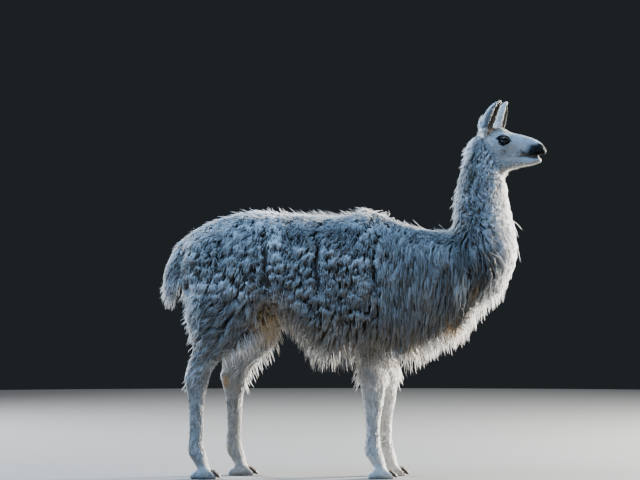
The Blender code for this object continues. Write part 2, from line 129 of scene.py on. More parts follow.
# One skin stands for all the flesh. It is fused from the solids at three grains, then drawn in
# by the depth of the coat.
skinGrain = {
    "head": 0.0031,
    "body": 0.015,
    "legs": 0.0062,
    "neckSeam": 1.245,  # the level where the head's grain begins
    "legSeam": 0.425,  # the level where the legs' grain begins
    "seamGap": 0.002,  # from a seam to the cut on each side of it, before they are bridged
}
headTurn = {"yaw": math.radians(-12), "pivot": Vector((0.530, 0.0, 1.400))}
toHead = (
    Matrix.Translation(headTurn["pivot"])
    @ Matrix.Rotation(-headTurn["yaw"], 4, "Z")
    @ Matrix.Translation(-headTurn["pivot"])
)
fleshNodes = [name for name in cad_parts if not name.startswith(("eye_", "nail_"))]


def readMesh(data):
    points = np.empty(len(data.vertices) * 3)
    data.vertices.foreach_get("co", points)
    data.calc_loop_triangles()
    corners = np.empty(len(data.loop_triangles) * 3, dtype=np.int64)
    data.loop_triangles.foreach_get("vertices", corners)
    return points.reshape(-1, 3), corners.reshape(-1, 3)


def vertexNormals(data):
    normals = np.empty(len(data.vertices) * 3)
    data.vertex_normals.foreach_get("vector", normals)
    return normals.reshape(-1, 3)


def meshEdges(data):
    # each edge's two ends, and how many edges meet at each point
    edges = np.empty(len(data.edges) * 2, dtype=np.int64)
    data.edges.foreach_get("vertices", edges)
    edges = edges.reshape(-1, 2)
    return edges, np.bincount(edges.ravel(), minlength=len(data.vertices))[:, None].astype(float)


def movePoints(data, points):
    data.vertices.foreach_set("co", points.ravel())
    data.update()


def addFacts(data, facts):
    for fact, values in facts.items():
        attribute = data.attributes.new(fact, "FLOAT", "POINT")
        attribute.data.foreach_set("value", values.astype(np.float32).ravel())


def smoothstep(low, high, value):
    t = np.clip((value - low) / (high - low), 0, 1)
    return t * t * (3 - 2 * t)


def ridge(value, middle, reach):
    return np.exp(-(((value - middle) / reach) ** 2))


def mound(u, v, middle, reach):
    # 1 at its middle, falling away over its reach each way
    return np.exp(-(((u - middle[0]) / reach[0]) ** 2 + ((v - middle[1]) / reach[1]) ** 2))


def fused(names, grain, easing):
    joined = bmesh.new()
    for name in names:
        joined.from_mesh(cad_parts[name].data)
    bmesh.ops.remove_doubles(joined, verts=joined.verts[:], dist=0.00002)
    joined.normal_update()
    for vertex in joined.verts:
        vertex.co += vertex.normal * 0.0008  # so that neighbours overlap across their cuts
    shape = linked("fusing", meshed("fusing", joined))
    fuse = shape.modifiers.new("fuse", "REMESH")
    fuse.mode = "VOXEL"
    fuse.voxel_size = grain
    ease = shape.modifiers.new("ease", "SMOOTH")
    ease.factor = 0.5
    ease.iterations = easing
    evaluated = shape.evaluated_get(bpy.context.evaluated_depsgraph_get())
    made = bpy.data.meshes.new_from_object(evaluated)
    bpy.data.objects.remove(shape)
    return made


def cutAway(data, level, keepAbove):
    part = bmesh.new()
    part.from_mesh(data)
    everything = part.verts[:] + part.edges[:] + part.faces[:]
    bmesh.ops.bisect_plane(
        part,
        geom=everything,
        plane_co=(0, 0, level),
        plane_no=(0, 0, 1),
        clear_inner=keepAbove,
        clear_outer=not keepAbove,
    )
    return part


def openLoops(part):
    # kept in the mesh's own order, because a set's order can change from run to run
    waiting = dict.fromkeys(edge for edge in part.edges if edge.is_boundary)
    loops = []
    while waiting:
        edge = next(iter(waiting))
        del waiting[edge]
        loop = [edge]
        ends = list(edge.verts)
        while ends:
            vertex = ends.pop()
            for following in vertex.link_edges:
                if following in waiting:
                    del waiting[following]
                    loop.append(following)
                    ends.append(following.other_vert(vertex))
        loops.append(loop)
    return loops


def loopMiddle(loop):
    return sum((vertex.co for edge in loop for vertex in edge.verts), Vector()) / (2 * len(loop))


def stitched(parts):
    whole = bmesh.new()
    for part in parts:
        whole.from_mesh(meshed("part", part))
    loops = [(loopMiddle(loop), loop) for loop in openLoops(whole)]
    while loops:
        middle, loop = loops.pop()
        nearest = min(range(len(loops)), key=lambda index: (loops[index][0] - middle).length)
        _, partner = loops.pop(nearest)
        bmesh.ops.bridge_loops(whole, edges=loop + partner)
    bmesh.ops.recalc_face_normals(whole, faces=whole.faces[:])
    return meshed("skin", whole)


def makeSkinBlank():
    headNames = ["head", "neck", "ear_right", "ear_left", "eye_right", "eye_left"]
    legNames = [name for name in fleshNodes if "leg_" in name]
    bodyNames = [name for name in fleshNodes if not name.startswith("ear_")]
    neckSeam, legSeam, gap = (skinGrain[fact] for fact in ("neckSeam", "legSeam", "seamGap"))
    headPart = cutAway(fused(headNames, skinGrain["head"], 2), neckSeam + gap, True)
    legPart = cutAway(fused(legNames, skinGrain["legs"], 3), legSeam - gap, False)
    body = fused(bodyNames, skinGrain["body"], 4)
    bodyPart = meshed("bodyPart", cutAway(body, neckSeam - gap, False))
    bodyPart = cutAway(bodyPart, legSeam + gap, True)
    print("parts", len(headPart.faces), len(legPart.faces), len(bodyPart.faces))
    return stitched([headPart, legPart, bodyPart]), body


coatDepth = {
    "face": 0.0020,
    "ear": 0.0012,
    "foot": 0.0015,
    "lowerLeg": 0.0045,
    "thigh": 0.034,
    "neck": 0.028,
    "back": 0.030,
    "side": 0.044,
    "matted": 0.030,
    "belly": 0.120,
    "tail": 0.022,
}


def faceward(points):
    # how far each place lies from the wool's end towards the face
    return (points[:, 0] - 0.590) * 0.84 + (points[:, 2] - 1.372) * 0.54


def faceAmount(points):
    # 0 on the neck's wool, 1 on the short hair of the face
    return smoothstep(-0.035, 0.015, faceward(points)) * smoothstep(0.48, 0.50, points[:, 0])


def earAmount(points):
    return smoothstep(1.478, 1.490, points[:, 2])


def tailAmount(points):
    x, y, z = points.T
    return smoothstep(-0.738, -0.752, x) * smoothstep(0.70, 0.72, z) * smoothstep(0.07, 0.05, np.abs(y))


def depthAt(points, normals):
    x, _, z = points.T
    side = coatDepth["side"] + (coatDepth["back"] - coatDepth["side"]) * smoothstep(0.1, 0.8, normals[:, 2])
    side += (coatDepth["matted"] - side) * smoothstep(0.20, 0.06, x) * smoothstep(0.70, 0.80, z)
    hem = smoothstep(0.76, 0.56, z) * smoothstep(-0.42, -0.20, x) * smoothstep(0.62, 0.30, x)
    trunk = side + (coatDepth["belly"] - side) * hem
    neck = coatDepth["neck"]
    onNeck = smoothstep(1.00, 1.20, z) * smoothstep(0.36, 0.46, x)
    depth = trunk + (neck - trunk) * onNeck
    thigh = smoothstep(0.78, 0.64, z) * smoothstep(-0.24, -0.34, x)
    depth += (coatDepth["thigh"] - depth) * thigh
    hind = smoothstep(0.66, 0.47, z) * smoothstep(-0.24, -0.34, x)
    fore = smoothstep(0.61, 0.54, z) * smoothstep(-0.35, -0.05, -np.abs(x - 0.105) + 0.02)
    fore *= smoothstep(-0.60, -0.30, normals[:, 2])
    leg = np.maximum(hind, np.maximum(fore, smoothstep(0.44, 0.42, z)))
    depth += (coatDepth["lowerLeg"] - depth) * leg
    depth += (coatDepth["foot"] - depth) * smoothstep(0.13, 0.08, z)
    depth += (coatDepth["tail"] - depth) * tailAmount(points)
    depth += (coatDepth["face"] - depth) * faceAmount(points)
    depth += (coatDepth["ear"] - depth) * earAmount(points)
    return depth


def neighbourMean(values, edges, counts):
    total = np.zeros_like(values)
    np.add.at(total, edges[:, 0], values[edges[:, 1]])
    np.add.at(total, edges[:, 1], values[edges[:, 0]])
    return total / counts


def drawIn(data, steps):
    points, _ = readMesh(data)
    edges, counts = meshEdges(data)
    depth = depthAt(points, vertexNormals(data))[:, None]
    for _ in range(12):
        depth = 0.4 * depth + 0.6 * neighbourMean(depth, edges, counts)
    level = points[:, 2:]
    shin = 0.14 * smoothstep(0.56, 0.46, level) * smoothstep(0.012, 0.030, level)
    ease = np.maximum(smoothstep(0.006, 0.030, depth), shin)
    sole = points[:, 2] < 0.0012
    for _ in range(steps):
        points -= vertexNormals(data) * depth / steps
        for _ in range(3):
            points += (neighbourMean(points, edges, counts) - points) * 0.6 * ease
        movePoints(data, points)
    points[sole, 2] = 0
    movePoints(data, points)


# The head's features, placed in the head's own frame before it is turned.
eyeShape = {
    "place": (0.6445, 0.0460, 1.431),
    "radius": 0.0178,
    "half": 0.0168,  # from the middle of the opening to a corner
    "upper": 0.0086,
    "lower": 0.0104,
    "rim": 0.0019,
    "tilt": -0.20,
    "turnOut": 0.0145,  # how far from the middle the lids leave the eyeball
}
nostril = {"place": (0.7935, 0.0250, 1.4085), "long": 0.0095, "wide": 0.0036, "deep": 0.0075}
headMatrix = np.array(toHead.to_3x3())
headPivot = np.array(headTurn["pivot"])
mouthLine = [(0.7285, 1.3775), (0.742, 1.3735), (0.757, 1.3700), (0.775, 1.3675), (0.800, 1.3665)]


def headPlaces(points):
    return (points - headPivot) @ headMatrix.T + headPivot


def worldPlaces(points):
    return (points - headPivot) @ headMatrix + headPivot


def worldWays(ways):
    return worldPlaces(ways + headPivot) - headPivot


def nostrilPlace(side):
    return np.array(nostril["place"]) * (1, side, 1)


def eyeFrame(side):
    outward = np.array([0.22, side, 0.10])
    outward /= np.linalg.norm(outward)
    forward = np.array([1.0, 0, eyeShape["tilt"]])
    forward -= outward * (forward @ outward)
    forward /= np.linalg.norm(forward)
    upward = np.cross(outward, forward) * -side
    x, y, z = eyeShape["place"]
    return np.array([x, side * y, z]), forward, upward, outward


def eyePlaces(local, side):
    centre, forward, upward, outward = eyeFrame(side)
    apart = local - centre
    return apart @ forward, apart @ upward, apart @ outward


def lidOpening(u, v):
    # under 1 inside the opening between the lids, over 1 outside it
    upper = np.abs(u / eyeShape["half"]) ** 2.2 + np.abs(v) / eyeShape["upper"]
    lower = np.abs(u / eyeShape["half"]) ** 1.5 + np.abs(v) / eyeShape["lower"]
    return np.where(v > 0, upper, lower)


def mouthDistance(local):
    x, z = local[:, 0], local[:, 2]
    best = np.full(len(local), 1.0)
    for (ax, az), (bx, bz) in zip(mouthLine, mouthLine[1:]):
        runX, runZ = bx - ax, bz - az
        t = np.clip(((x - ax) * runX + (z - az) * runZ) / (runX ** 2 + runZ ** 2), 0, 1)
        best = np.minimum(best, np.hypot(x - ax - t * runX, z - az - t * runZ))
    return best


def refined(data):
    # finer faces where the lids, nostrils and mouth are
    mesh = bmesh.new()
    mesh.from_mesh(data)
    points = headPlaces(np.array([vertex.co for vertex in mesh.verts]))
    close = mouthDistance(points) < 0.008
    for side in (-1, 1):
        u, v, w = eyePlaces(points, side)
        close |= (np.hypot(u, v) < 0.030) & (w > -0.002)
        close |= np.linalg.norm(points - nostrilPlace(side), axis=1) < 0.018
    mesh.verts.ensure_lookup_table()
    chosen = [face for face in mesh.faces if all(close[vertex.index] for vertex in face.verts)]
    edges = list(dict.fromkeys(edge for face in chosen for edge in face.edges))
    bmesh.ops.subdivide_edges(mesh, edges=edges, cuts=2, use_grid_fill=True)
    bmesh.ops.triangulate(mesh, faces=[face for face in mesh.faces if len(face.verts) > 4])
    mesh.to_mesh(data)
    mesh.free()


def shapeLids(local, side):
    radius, turnOut, rim = (eyeShape[fact] for fact in ("radius", "turnOut", "rim"))
    outward = eyeFrame(side)[3]
    u, v, w = eyePlaces(local, side)
    r = np.hypot(u, v)
    near = (w > -0.004) & (r < 0.06)
    ball = np.sqrt(radius ** 2 - np.minimum(r, turnOut) ** 2) - 0.45 * np.maximum(r - turnOut, 0)
    inside = smoothstep(1.06, 0.92, lidOpening(u, v))
    target = ball + rim - inside * (rim + 0.0045)
    moved = w + (target - w) * smoothstep(0.031, 0.0150, r)
    moved += 0.0030 * mound(u, v, (-0.002, 0.027), (0.020, 0.008))  # the brow
    moved -= 0.0016 * ridge(r, 0.0215, 0.0022) * smoothstep(0.004, 0.012, v)
    moved -= 0.0010 * ridge(r, 0.0200, 0.0022) * smoothstep(-0.004, -0.010, v)
    moved -= 0.0022 * mound(u, v, (0.0200, -0.003), (0.0050, 0.0035))  # the inner corner
    local[near] += (moved - w)[near, None] * outward


def shapeNostril(local, normals, side):
    home = np.argmin(np.linalg.norm(local - nostrilPlace(side), axis=1))
    normal = normals[home]
    along = np.array([0.72, -0.25 * side, -0.62])
    along -= normal * (along @ normal)
    along /= np.linalg.norm(along)
    across = np.cross(normal, along)
    apart = local - local[home]
    close = np.linalg.norm(apart, axis=1) < 0.030
    a, b = apart @ along, apart @ across
    b = b + 16 * a ** 2
    q = np.sqrt((a / nostril["long"]) ** 2 + (b / nostril["wide"]) ** 2)
    push = -nostril["deep"] * smoothstep(1.15, 0.25, q) + 0.0016 * ridge(q, 1.7, 0.55)
    local[close] += push[close, None] * normal


def sculptHead(data):
    points, _ = readMesh(data)
    local = headPlaces(points)
    normals = headPlaces(vertexNormals(data) + headPivot) - headPivot
    for side in (-1, 1):
        shapeLids(local, side)
        shapeNostril(local, normals, side)
    lip = mouthDistance(local)
    mouth = (np.abs(local[:, 1]) < 0.045) & (lip < 0.02)
    parted = smoothstep(0.752, 0.766, local[:, 0])
    crease = -(0.0032 + 0.0045 * parted) * np.exp(-((lip / (0.0019 + 0.0010 * parted)) ** 2))
    crease = crease + 0.0010 * ridge(lip, 0.0058, 0.0022)
    local[mouth] += (normals * crease[:, None])[mouth]
    # the upper lip's cleft
    x, y, z = local.T
    cleft = ridge(y, 0, 0.0022) * smoothstep(0.798, 0.806, x)
    cleft = cleft * smoothstep(1.362, 1.370, z) * smoothstep(1.408, 1.398, z)
    local += np.array([-0.0030, 0, 0]) * cleft[:, None]
    # the jaw, the hollow in front of it and the muzzle's side
    swell = 0.0030 * mound(x, z, (0.598, 1.392), (0.030, 0.022))
    swell -= 0.0030 * mound(x, z, (0.675, 1.398), (0.022, 0.012))
    swell += 0.0018 * mound(x, z, (0.760, 1.390), (0.022, 0.012))
    face = smoothstep(0.015, 0.030, np.abs(y)) * (x > 0.54)
    local += np.sign(y)[:, None] * np.array([0, 1.0, 0]) * (swell * face)[:, None]
    # the ears' roots and rims are eased
    edges, counts = meshEdges(data)
    x, y, z = local.T
    roots = smoothstep(1.440, 1.455, z) * smoothstep(1.515, 1.490, z)
    roots = roots * smoothstep(0.012, 0.020, np.abs(y)) * smoothstep(0.615, 0.600, x)
    weight = np.maximum(roots, 0.35 * smoothstep(1.480, 1.490, z))[:, None]
    for turn in range(26):
        pull = weight if turn < 4 else roots[:, None]
        local += (neighbourMean(local, edges, counts) - local) * 0.6 * pull
    movePoints(data, worldPlaces(local))


def sootAndShadeAt(points, normals):
    # the dark skin and hair round the eyes and on the nose and lips; painted shade in the ears' hollows and in the
    # gap between the lips; and the right ear's back a little darker
    local = headPlaces(points)
    x, _, z = local.T
    sootAndShade = np.zeros(len(points))
    for side in (-1, 1):
        u, v, w = eyePlaces(local, side)
        width = 0.0330 - 0.003 * smoothstep(0.0, 0.02, u)
        patch = np.abs(u / width) ** np.where(v > 0, 3.0, 1.4) + np.where(v > 0, v / 0.0165, -v / 0.0250)
        sootAndShade = np.maximum(sootAndShade, smoothstep(1.20, 1.02, patch) * (w > -0.01))
        apart = np.linalg.norm(local - nostrilPlace(side), axis=1)
        sootAndShade = np.maximum(sootAndShade, smoothstep(0.0145, 0.0070, apart))
    lip = mouthDistance(local)
    # dark lips, with painted shade in the gap between them
    sootAndShade = np.maximum(sootAndShade, 0.95 * smoothstep(0.0065, 0.0020, lip) * (x > 0.70))
    muzzle = smoothstep(0.728, 0.764, x + 0.25 * (1.395 - z))
    muzzle = muzzle * smoothstep(1.424, 1.404, z) * smoothstep(1.360, 1.370, z)
    sootAndShade = np.maximum(sootAndShade, 0.99 * muzzle)
    # painted shade in the ears' hollows
    sootAndShade = np.maximum(sootAndShade, 0.96 * earInside(points, normals))
    sootAndShade = np.maximum(sootAndShade, 0.42 * rightEarBack(points))
    return np.clip(sootAndShade, 0, 1)


earFacing = {"right": math.radians(-28), "left": math.radians(-20)}


def leftEar(points):
    return points[:, 1] > np.interp(points[:, 0], (0.5, 0.7), (0.006, -0.036))


def earInside(points, normals):
    # 1 in the ears' hollows
    turn = np.where(leftEar(points), earFacing["left"], earFacing["right"])
    facing = normals[:, 0] * np.cos(turn) + normals[:, 1] * np.sin(turn)
    inside = smoothstep(0.42, 0.62, facing) * (1 - 0.75 * smoothstep(1.562, 1.586, points[:, 2]))
    outerWall = leftEar(points) * smoothstep(0.041, 0.047, points[:, 1]) * smoothstep(-0.22, -0.08, facing)
    outerWall *= smoothstep(1.592, 1.578, points[:, 2])
    return np.maximum(inside, outerWall) * smoothstep(1.476, 1.490, points[:, 2])


def rightEarBack(points):
    # the right ear's back is darker, but for its rear edge
    x, _, z = points.T
    rear = np.interp(z, (1.45, 1.50, 1.55, 1.60), (0.528, 0.535, 0.556, 0.600))
    return smoothstep(1.462, 1.490, z) * ~leftEar(points) * smoothstep(-0.002, 0.014, x - rear)


skinData, shellData = makeSkinBlank()
drawIn(skinData, 14)
report("skin drawn in")
refined(skinData)
sculptHead(skinData)
print("skin faces", len(skinData.polygons), "corners", len(skinData.loops))
skin = linked("skin", skinData)
for polygon in skinData.polygons:
    polygon.use_smooth = True
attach(skin, "root")
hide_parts(*fleshNodes)
report("skin fused")


# Locks grow from the skin and lie out to the coat's outer face, which is the solids' own shape.
coatGrain = {
    "rings": 5,
    "guide": 9,  # points along a clump's middle
    # the matted side's upright clefts: where each is, the level where it ends and how open it is
    "clefts": [
        (-0.575, 0.88, 0.6),
        (-0.470, 0.98, 0.5),
        (-0.375, 0.80, 1.0),
        (-0.265, 0.92, 0.5),
        (-0.160, 0.80, 0.95),
        (-0.060, 0.90, 0.6),
        (0.085, 0.74, 0.9),
    ],
    "cleftWidth": 0.026,
    "clumps": 110000,  # places tried for a clump, of which the spacing keeps a few thousand
    "fringes": 60000,  # places tried for a free hair
    "wisps": 7200,
}
fullTurn = 6.28  # a whole turn of a wave, near enough
tiny = 0.000001  # keeps a direction from being divided by nothing
# Each kind of wool: the spacing of its clumps, how much wider than high they are, their length,
# how far their strands come together, how far the tips tuck in, the crimp, a strand's half width,
# the strands' spacing, how domed and how even a clump is, and how far it strays from the comb.
woolFacts = ("spacing", "widen", "length", "gather", "tuck", "crimp", "width", "strand", "dome", "even", "stray")
wool = {
    "block": (0.024, 1.25, 0.072, 0.25, 0.06, 0.0014, 0.0037, 0.0089, 0.04, 0.65, 0.09),
    "lock": (0.018, 1.0, 0.150, 0.55, 0.03, 0.0022, 0.0026, 0.0074, 0.22, 0.35, 0.10),
    "neck": (0.017, 1.0, 0.052, 0.45, 0.12, 0.0036, 0.0024, 0.0074, 0.25, 0.4, 0.32),
    "chest": (0.020, 1.0, 0.110, 0.60, 0.02, 0.0034, 0.0028, 0.0078, 0.25, 0.35, 0.22),
    "thigh": (0.025, 1.0, 0.105, 0.45, 0.08, 0.0042, 0.0032, 0.0082, 0.30, 0.45, 0.26),
    "belly": (0.024, 1.0, 0.135, 0.80, 0.00, 0.0028, 0.0030, 0.0080, 0.25, 0.3, 0.16),
    "tail": (0.016, 1.0, 0.090, 0.60, 0.00, 0.0046, 0.0022, 0.0070, 0.25, 0.4, 0.20),
}
# The matted side's lumps: their spacing, and how deep and how wide the clefts between them are.
lump = {"spacing": 0.060, "deep": 0.022, "wide": 0.0105}


def woolKinds(points):
    # how much of each kind there is at each place, adding up to 1
    x, _, z = points.T
    tail = tailAmount(points)
    neck = smoothstep(1.02, 1.12, z) * smoothstep(0.34, 0.44, x)
    chest = smoothstep(0.44, 0.56, x) * (1 - neck)
    thigh = smoothstep(0.82, 0.70, z) * smoothstep(-0.26, -0.36, x)
    belly = smoothstep(0.74, 0.62, z) * smoothstep(-0.36, -0.26, x) * (1 - chest)
    lock = smoothstep(0.06, 0.18, x + 0.10 * (0.9 - z)) * (1 - chest) * (1 - neck) * (1 - belly)
    kinds = {"tail": tail, "neck": neck, "chest": chest, "thigh": thigh, "belly": belly, "lock": lock}
    total = np.zeros(len(points))
    for name in kinds:
        kinds[name] = kinds[name] * (1 - np.minimum(total, 1))
        total += kinds[name]
    kinds["block"] = 1 - np.minimum(total, 1)
    return kinds


def woolValues(points):
    values = {fact: np.zeros(len(points)) for fact in woolFacts}
    for name, amount in woolKinds(points).items():
        for fact, number in zip(woolFacts, wool[name]):
            values[fact] += amount * number
    return values


def cleftAt(points):
    # 1 in the upright clefts between the matted side's columns, 0 elsewhere
    x, y, z = points.T
    level = points * np.array([0.2, 1, 1])
    wandering = x + 0.016 * ripple(level, 0.10, 21) + 0.009 * ripple(level, 0.028, 22) + 0.04 * (z - 0.9)
    cleft = np.zeros(len(points))
    for place, low, strength in coatGrain["clefts"]:
        middle = np.where(y < 0, place, place + 0.07)
        near = np.clip(1 - np.abs(wandering - middle) / coatGrain["cleftWidth"], 0, 1) ** 1.5
        cleft = np.maximum(cleft, strength * near * smoothstep(low - 0.06, low + 0.04, z))
    cleft *= 0.88 + 0.16 * ripple(points, 0.04, 23)
    return cleft * woolKinds(points)["block"] * smoothstep(1.09, 1.02, z)


def stretched(stops, widths):
    # where each stop comes to lie once the axis is divided by its widths
    return np.concatenate([[0], np.cumsum((1 / widths[1:] + 1 / widths[:-1]) / 2 * np.diff(stops))])


def lumpSpace(points):
    # the matted side's lumps are round on the rump, lie wide on the flank and stand tall up the back
    x, y, z = points.T
    stops = np.linspace(-0.9, 0.8, 60)
    widths = 1.0 + 0.85 * smoothstep(-0.42, -0.36, stops) * smoothstep(0.20, 0.10, stops)
    levels = np.linspace(0.3, 1.3, 60)
    heights = 1.0 + 1.0 * smoothstep(0.99, 1.05, levels)
    flat = smoothstep(-0.42, -0.36, x) * smoothstep(0.20, 0.10, x) * smoothstep(1.03, 0.97, z)
    across = np.interp(x, stops, stretched(stops, widths))
    up = np.interp(z, levels, stretched(levels, heights)) + 0.35 * flat * (z - 0.97)
    warped = np.stack([across, y, up], axis=1)
    for axis in range(3):
        warped[:, axis] += 0.007 * ripple(points, 0.035, 70 + axis)
    return warped


class Lumps:
    def __init__(self):
        rng = np.random.default_rng(13)
        points = shell.scatter(26000, rng)[0]
        points = lumpSpace(points[points[:, 2] > 0.5])
        kept = spread(points, np.full(len(points), lump["spacing"]) * rng.uniform(0.60, 1.20, len(points)))
        centres = points[kept]
        self.tones = rng.normal(size=len(centres))
        self.heights = centres[:, 2]
        self.tree = KDTree(len(centres))
        for index, centre in enumerate(centres.tolist()):
            self.tree.insert(centre, index)
        self.tree.balance()

    def at(self, points):
        # how far each place is into a cleft, from 0 to 1, the tone of its lump, and how far it
        # lies below the lump's middle
        cleft, owner = np.empty(len(points)), np.empty(len(points), dtype=int)
        warped = lumpSpace(points)
        for index, place in enumerate(warped.tolist()):
            (_, owner[index], near), (_, _, second) = self.tree.find_n(place, 2)
            cleft[index] = second - near
        below = (self.heights[owner] - warped[:, 2]) / lump["spacing"]
        edge = np.clip(1 - cleft / (lump["wide"] * 2), 0, 1)
        return edge ** 1.3, self.tones[owner], below


def combAt(points, normals):
    x, y, z = points.T
    way = np.zeros_like(points)
    way[:, 2] = -1
    onTop = smoothstep(0.35, 0.85, normals[:, 2])
    back = -0.10 - 0.35 * onTop
    back -= 0.28 * smoothstep(-0.45, -0.65, x)
    back -= 0.30 * smoothstep(0.82, 0.72, z) * smoothstep(-0.36, -0.50, x)
    back += 0.07 * smoothstep(0.02, 0.12, x) * smoothstep(0.46, 0.40, x)
    back -= 0.34 * smoothstep(0.40, 0.56, x) * smoothstep(0.82, 0.66, z)
    back += 0.42 * smoothstep(0.38, 0.50, x) * smoothstep(0.84, 0.96, z) * smoothstep(1.14, 1.04, z)
    neck = smoothstep(1.06, 1.16, z) * smoothstep(0.34, 0.44, x)
    way[:, 0] = back * (1 - neck) + 0.10 * neck
    way[:, 1] = np.tanh((y + 0.022 * ripple(points, 0.09, 41)) / 0.10) * onTop * 0.5 * (1 - neck)
    return laidOn(way, normals)


def laidOn(way, normals):
    # a direction, flattened onto the surface
    way -= normals * np.sum(way * normals, axis=1)[:, None]
    return way / (np.linalg.norm(way, axis=1)[:, None] + tiny)


def ripple(points, scale, seed):
    # a smooth wander between -1 and 1, made of a few waves
    rng = np.random.default_rng(seed)
    total = np.zeros(len(points))
    for _ in range(6):
        wave = rng.normal(size=3) / scale
        total += np.sin(points @ wave * 2.2 + rng.uniform(0, fullTurn))
    return np.clip(total / 3.2, -1, 1)


class Surface:
    def __init__(self, data):
        self.points, self.corners = readMesh(data)
        self.normals = vertexNormals(data)
        self.tree = BVHTree.FromPolygons(self.points.tolist(), self.corners.tolist())
        a, b, c = (self.points[self.corners[:, i]] for i in range(3))
        self.areas = np.linalg.norm(np.cross(b - a, c - a), axis=1) / 2
        faceNormals = self.normals[self.corners].sum(axis=1)
        self.faceNormals = faceNormals / np.linalg.norm(faceNormals, axis=1)[:, None]

    def scatter(self, count, rng, weight=None):
        chance = self.areas if weight is None else self.areas * weight
        chance = chance / chance.sum()
        picked = rng.choice(len(self.areas), size=count, p=chance)
        u, v = rng.random(count), rng.random(count)
        over = u + v > 1
        u[over], v[over] = 1 - u[over], 1 - v[over]
        w = 1 - u - v
        mix = np.stack([w, u, v], axis=1)[:, :, None]
        points = (self.points[self.corners[picked]] * mix).sum(axis=1)
        normals = (self.normals[self.corners[picked]] * mix).sum(axis=1)
        return points, normals / np.linalg.norm(normals, axis=1)[:, None]

    def nearest(self, points):
        hits = [self.tree.find_nearest(point) for point in points.tolist()]
        places = np.array([hit[0] for hit in hits])
        return places, self.faceNormals[[hit[2] for hit in hits]]


def spread(points, spacing, across=None, widen=None):
    # keeps points no closer together than their spacing, in the order given; across each point's
    # own line the spacing is widened
    cell = float(spacing.min())
    cells = {}
    kept = []
    if widen is None:
        widen = np.ones(len(points))
        across = np.zeros((len(points), 3))
    keys = np.floor(points / cell).astype(int).tolist()
    spans = np.ceil(spacing * widen / cell).astype(int).tolist()
    places, sides, rooms, ratios = points.tolist(), across.tolist(), spacing.tolist(), widen.tolist()

    def crowded(index):
        kx, ky, kz = keys[index]
        px, py, pz = places[index]
        sx, sy, sz = sides[index]
        room = rooms[index] ** 2
        ease = 1 - 1 / ratios[index] ** 2
        span = spans[index]
        for i in range(kx - span, kx + span + 1):
            for j in range(ky - span, ky + span + 1):
                for k in range(kz - span, kz + span + 1):
                    for ox, oy, oz in cells.get((i, j, k), ()):
                        dx, dy, dz = px - ox, py - oy, pz - oz
                        d = dx * dx + dy * dy + dz * dz - ease * (dx * sx + dy * sy + dz * sz) ** 2
                        if d < room:
                            return True
        return False

    for index, key in enumerate(keys):
        if not crowded(index):
            cells.setdefault(tuple(key), []).append(places[index])
            kept.append(index)
    return np.array(kept)


def lockTemplate(rings, sides=3):
    # a tapering closed tube: x and y go round it and z runs from its root to its tip
    blank = bmesh.new()
    circle = bmesh.ops.create_circle(blank, segments=sides, radius=1)["verts"]
    edges = list(dict.fromkeys(edge for vertex in circle for edge in vertex.link_edges))
    bmesh.ops.holes_fill(blank, edges=edges)
    for _ in range(1, rings):
        grown = bmesh.ops.extrude_edge_only(blank, edges=edges)["geom"]
        verts = [part for part in grown if isinstance(part, bmesh.types.BMVert)]
        bmesh.ops.translate(blank, verts=verts, vec=(0, 0, 1 / (rings - 1)))
        edges = [e for e in blank.edges if all(v in set(verts) for v in e.verts)]
    bmesh.ops.pointmerge(blank, verts=verts, merge_co=(0, 0, 1))
    bmesh.ops.triangulate(blank, faces=blank.faces[:])
    bmesh.ops.recalc_face_normals(blank, faces=blank.faces[:])
    blank.verts.index_update()
    points = np.array([vertex.co for vertex in blank.verts])
    corners = np.array([[vertex.index for vertex in face.verts] for face in blank.faces])
    blank.free()
    angle = np.arctan2(points[:, 1], points[:, 0]) / (2 * math.pi) % 1
    around = angle[corners]
    wraps = (around.max(axis=1) - around.min(axis=1)) > 0.5
    around[wraps] = np.where(around[wraps] < 0.5, around[wraps] + 1, around[wraps])
    patch = np.stack([around, points[:, 2][corners]], axis=2)
    return points, corners, patch


def meshPiece(name, points, corners, patches, facts, look):
    data = bpy.data.meshes.new(name)
    data.vertices.add(len(points))
    data.vertices.foreach_set("co", points.astype(np.float32).ravel())
    data.loops.add(corners.size)
    data.loops.foreach_set("vertex_index", corners.astype(np.int32).ravel())
    data.polygons.add(len(corners))
    data.polygons.foreach_set("loop_start", np.arange(0, corners.size, 3, dtype=np.int32))
    data.polygons.foreach_set("use_smooth", np.ones(len(corners), dtype=bool))
    data.update(calc_edges=True)
    layer = data.uv_layers.new(name="OFBake")
    layer.data.foreach_set("uv", patches.astype(np.float32).ravel())
    addFacts(data, facts)
    data.materials.append(look)
    piece = linked(name, data)
    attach(piece, "root")
    return piece


legMiddles = np.array([[0.078, -0.105], [0.132, 0.105], [-0.668, -0.118], [-0.514, 0.118]])


def bakePlaces(points, part):
    # unrolls the animal about each part's own middle line, spread over the whole sheet
    x, y, z = points.T
    length = z if part in ("neck", "leg") else x
    if part == "leg":
        which = np.argmin(((points[:, None, :2] - legMiddles) ** 2).sum(axis=2), axis=1)
        turn = np.arctan2(y - legMiddles[which, 1], x - legMiddles[which, 0]) / (2 * math.pi) + 0.5
        around = (which + 0.03 + 0.94 * turn) / 4
    elif part == "neck":
        around = np.arctan2(y, x - 0.545) / (2 * math.pi) + 0.5
    elif part == "head":
        around = np.arctan2(z - 1.40, y) / (2 * math.pi) + 0.5
    else:
        around = np.arctan2(y, 0.80 - z)
    spans = []
    for value in (around, length):
        low, high = value.min(), value.max()
        spans.append(0.005 + 0.985 * (value - low) / (high - low))
    return np.stack(spans, axis=1)


shell = Surface(shellData)
under = Surface(skinData)
report("surfaces")


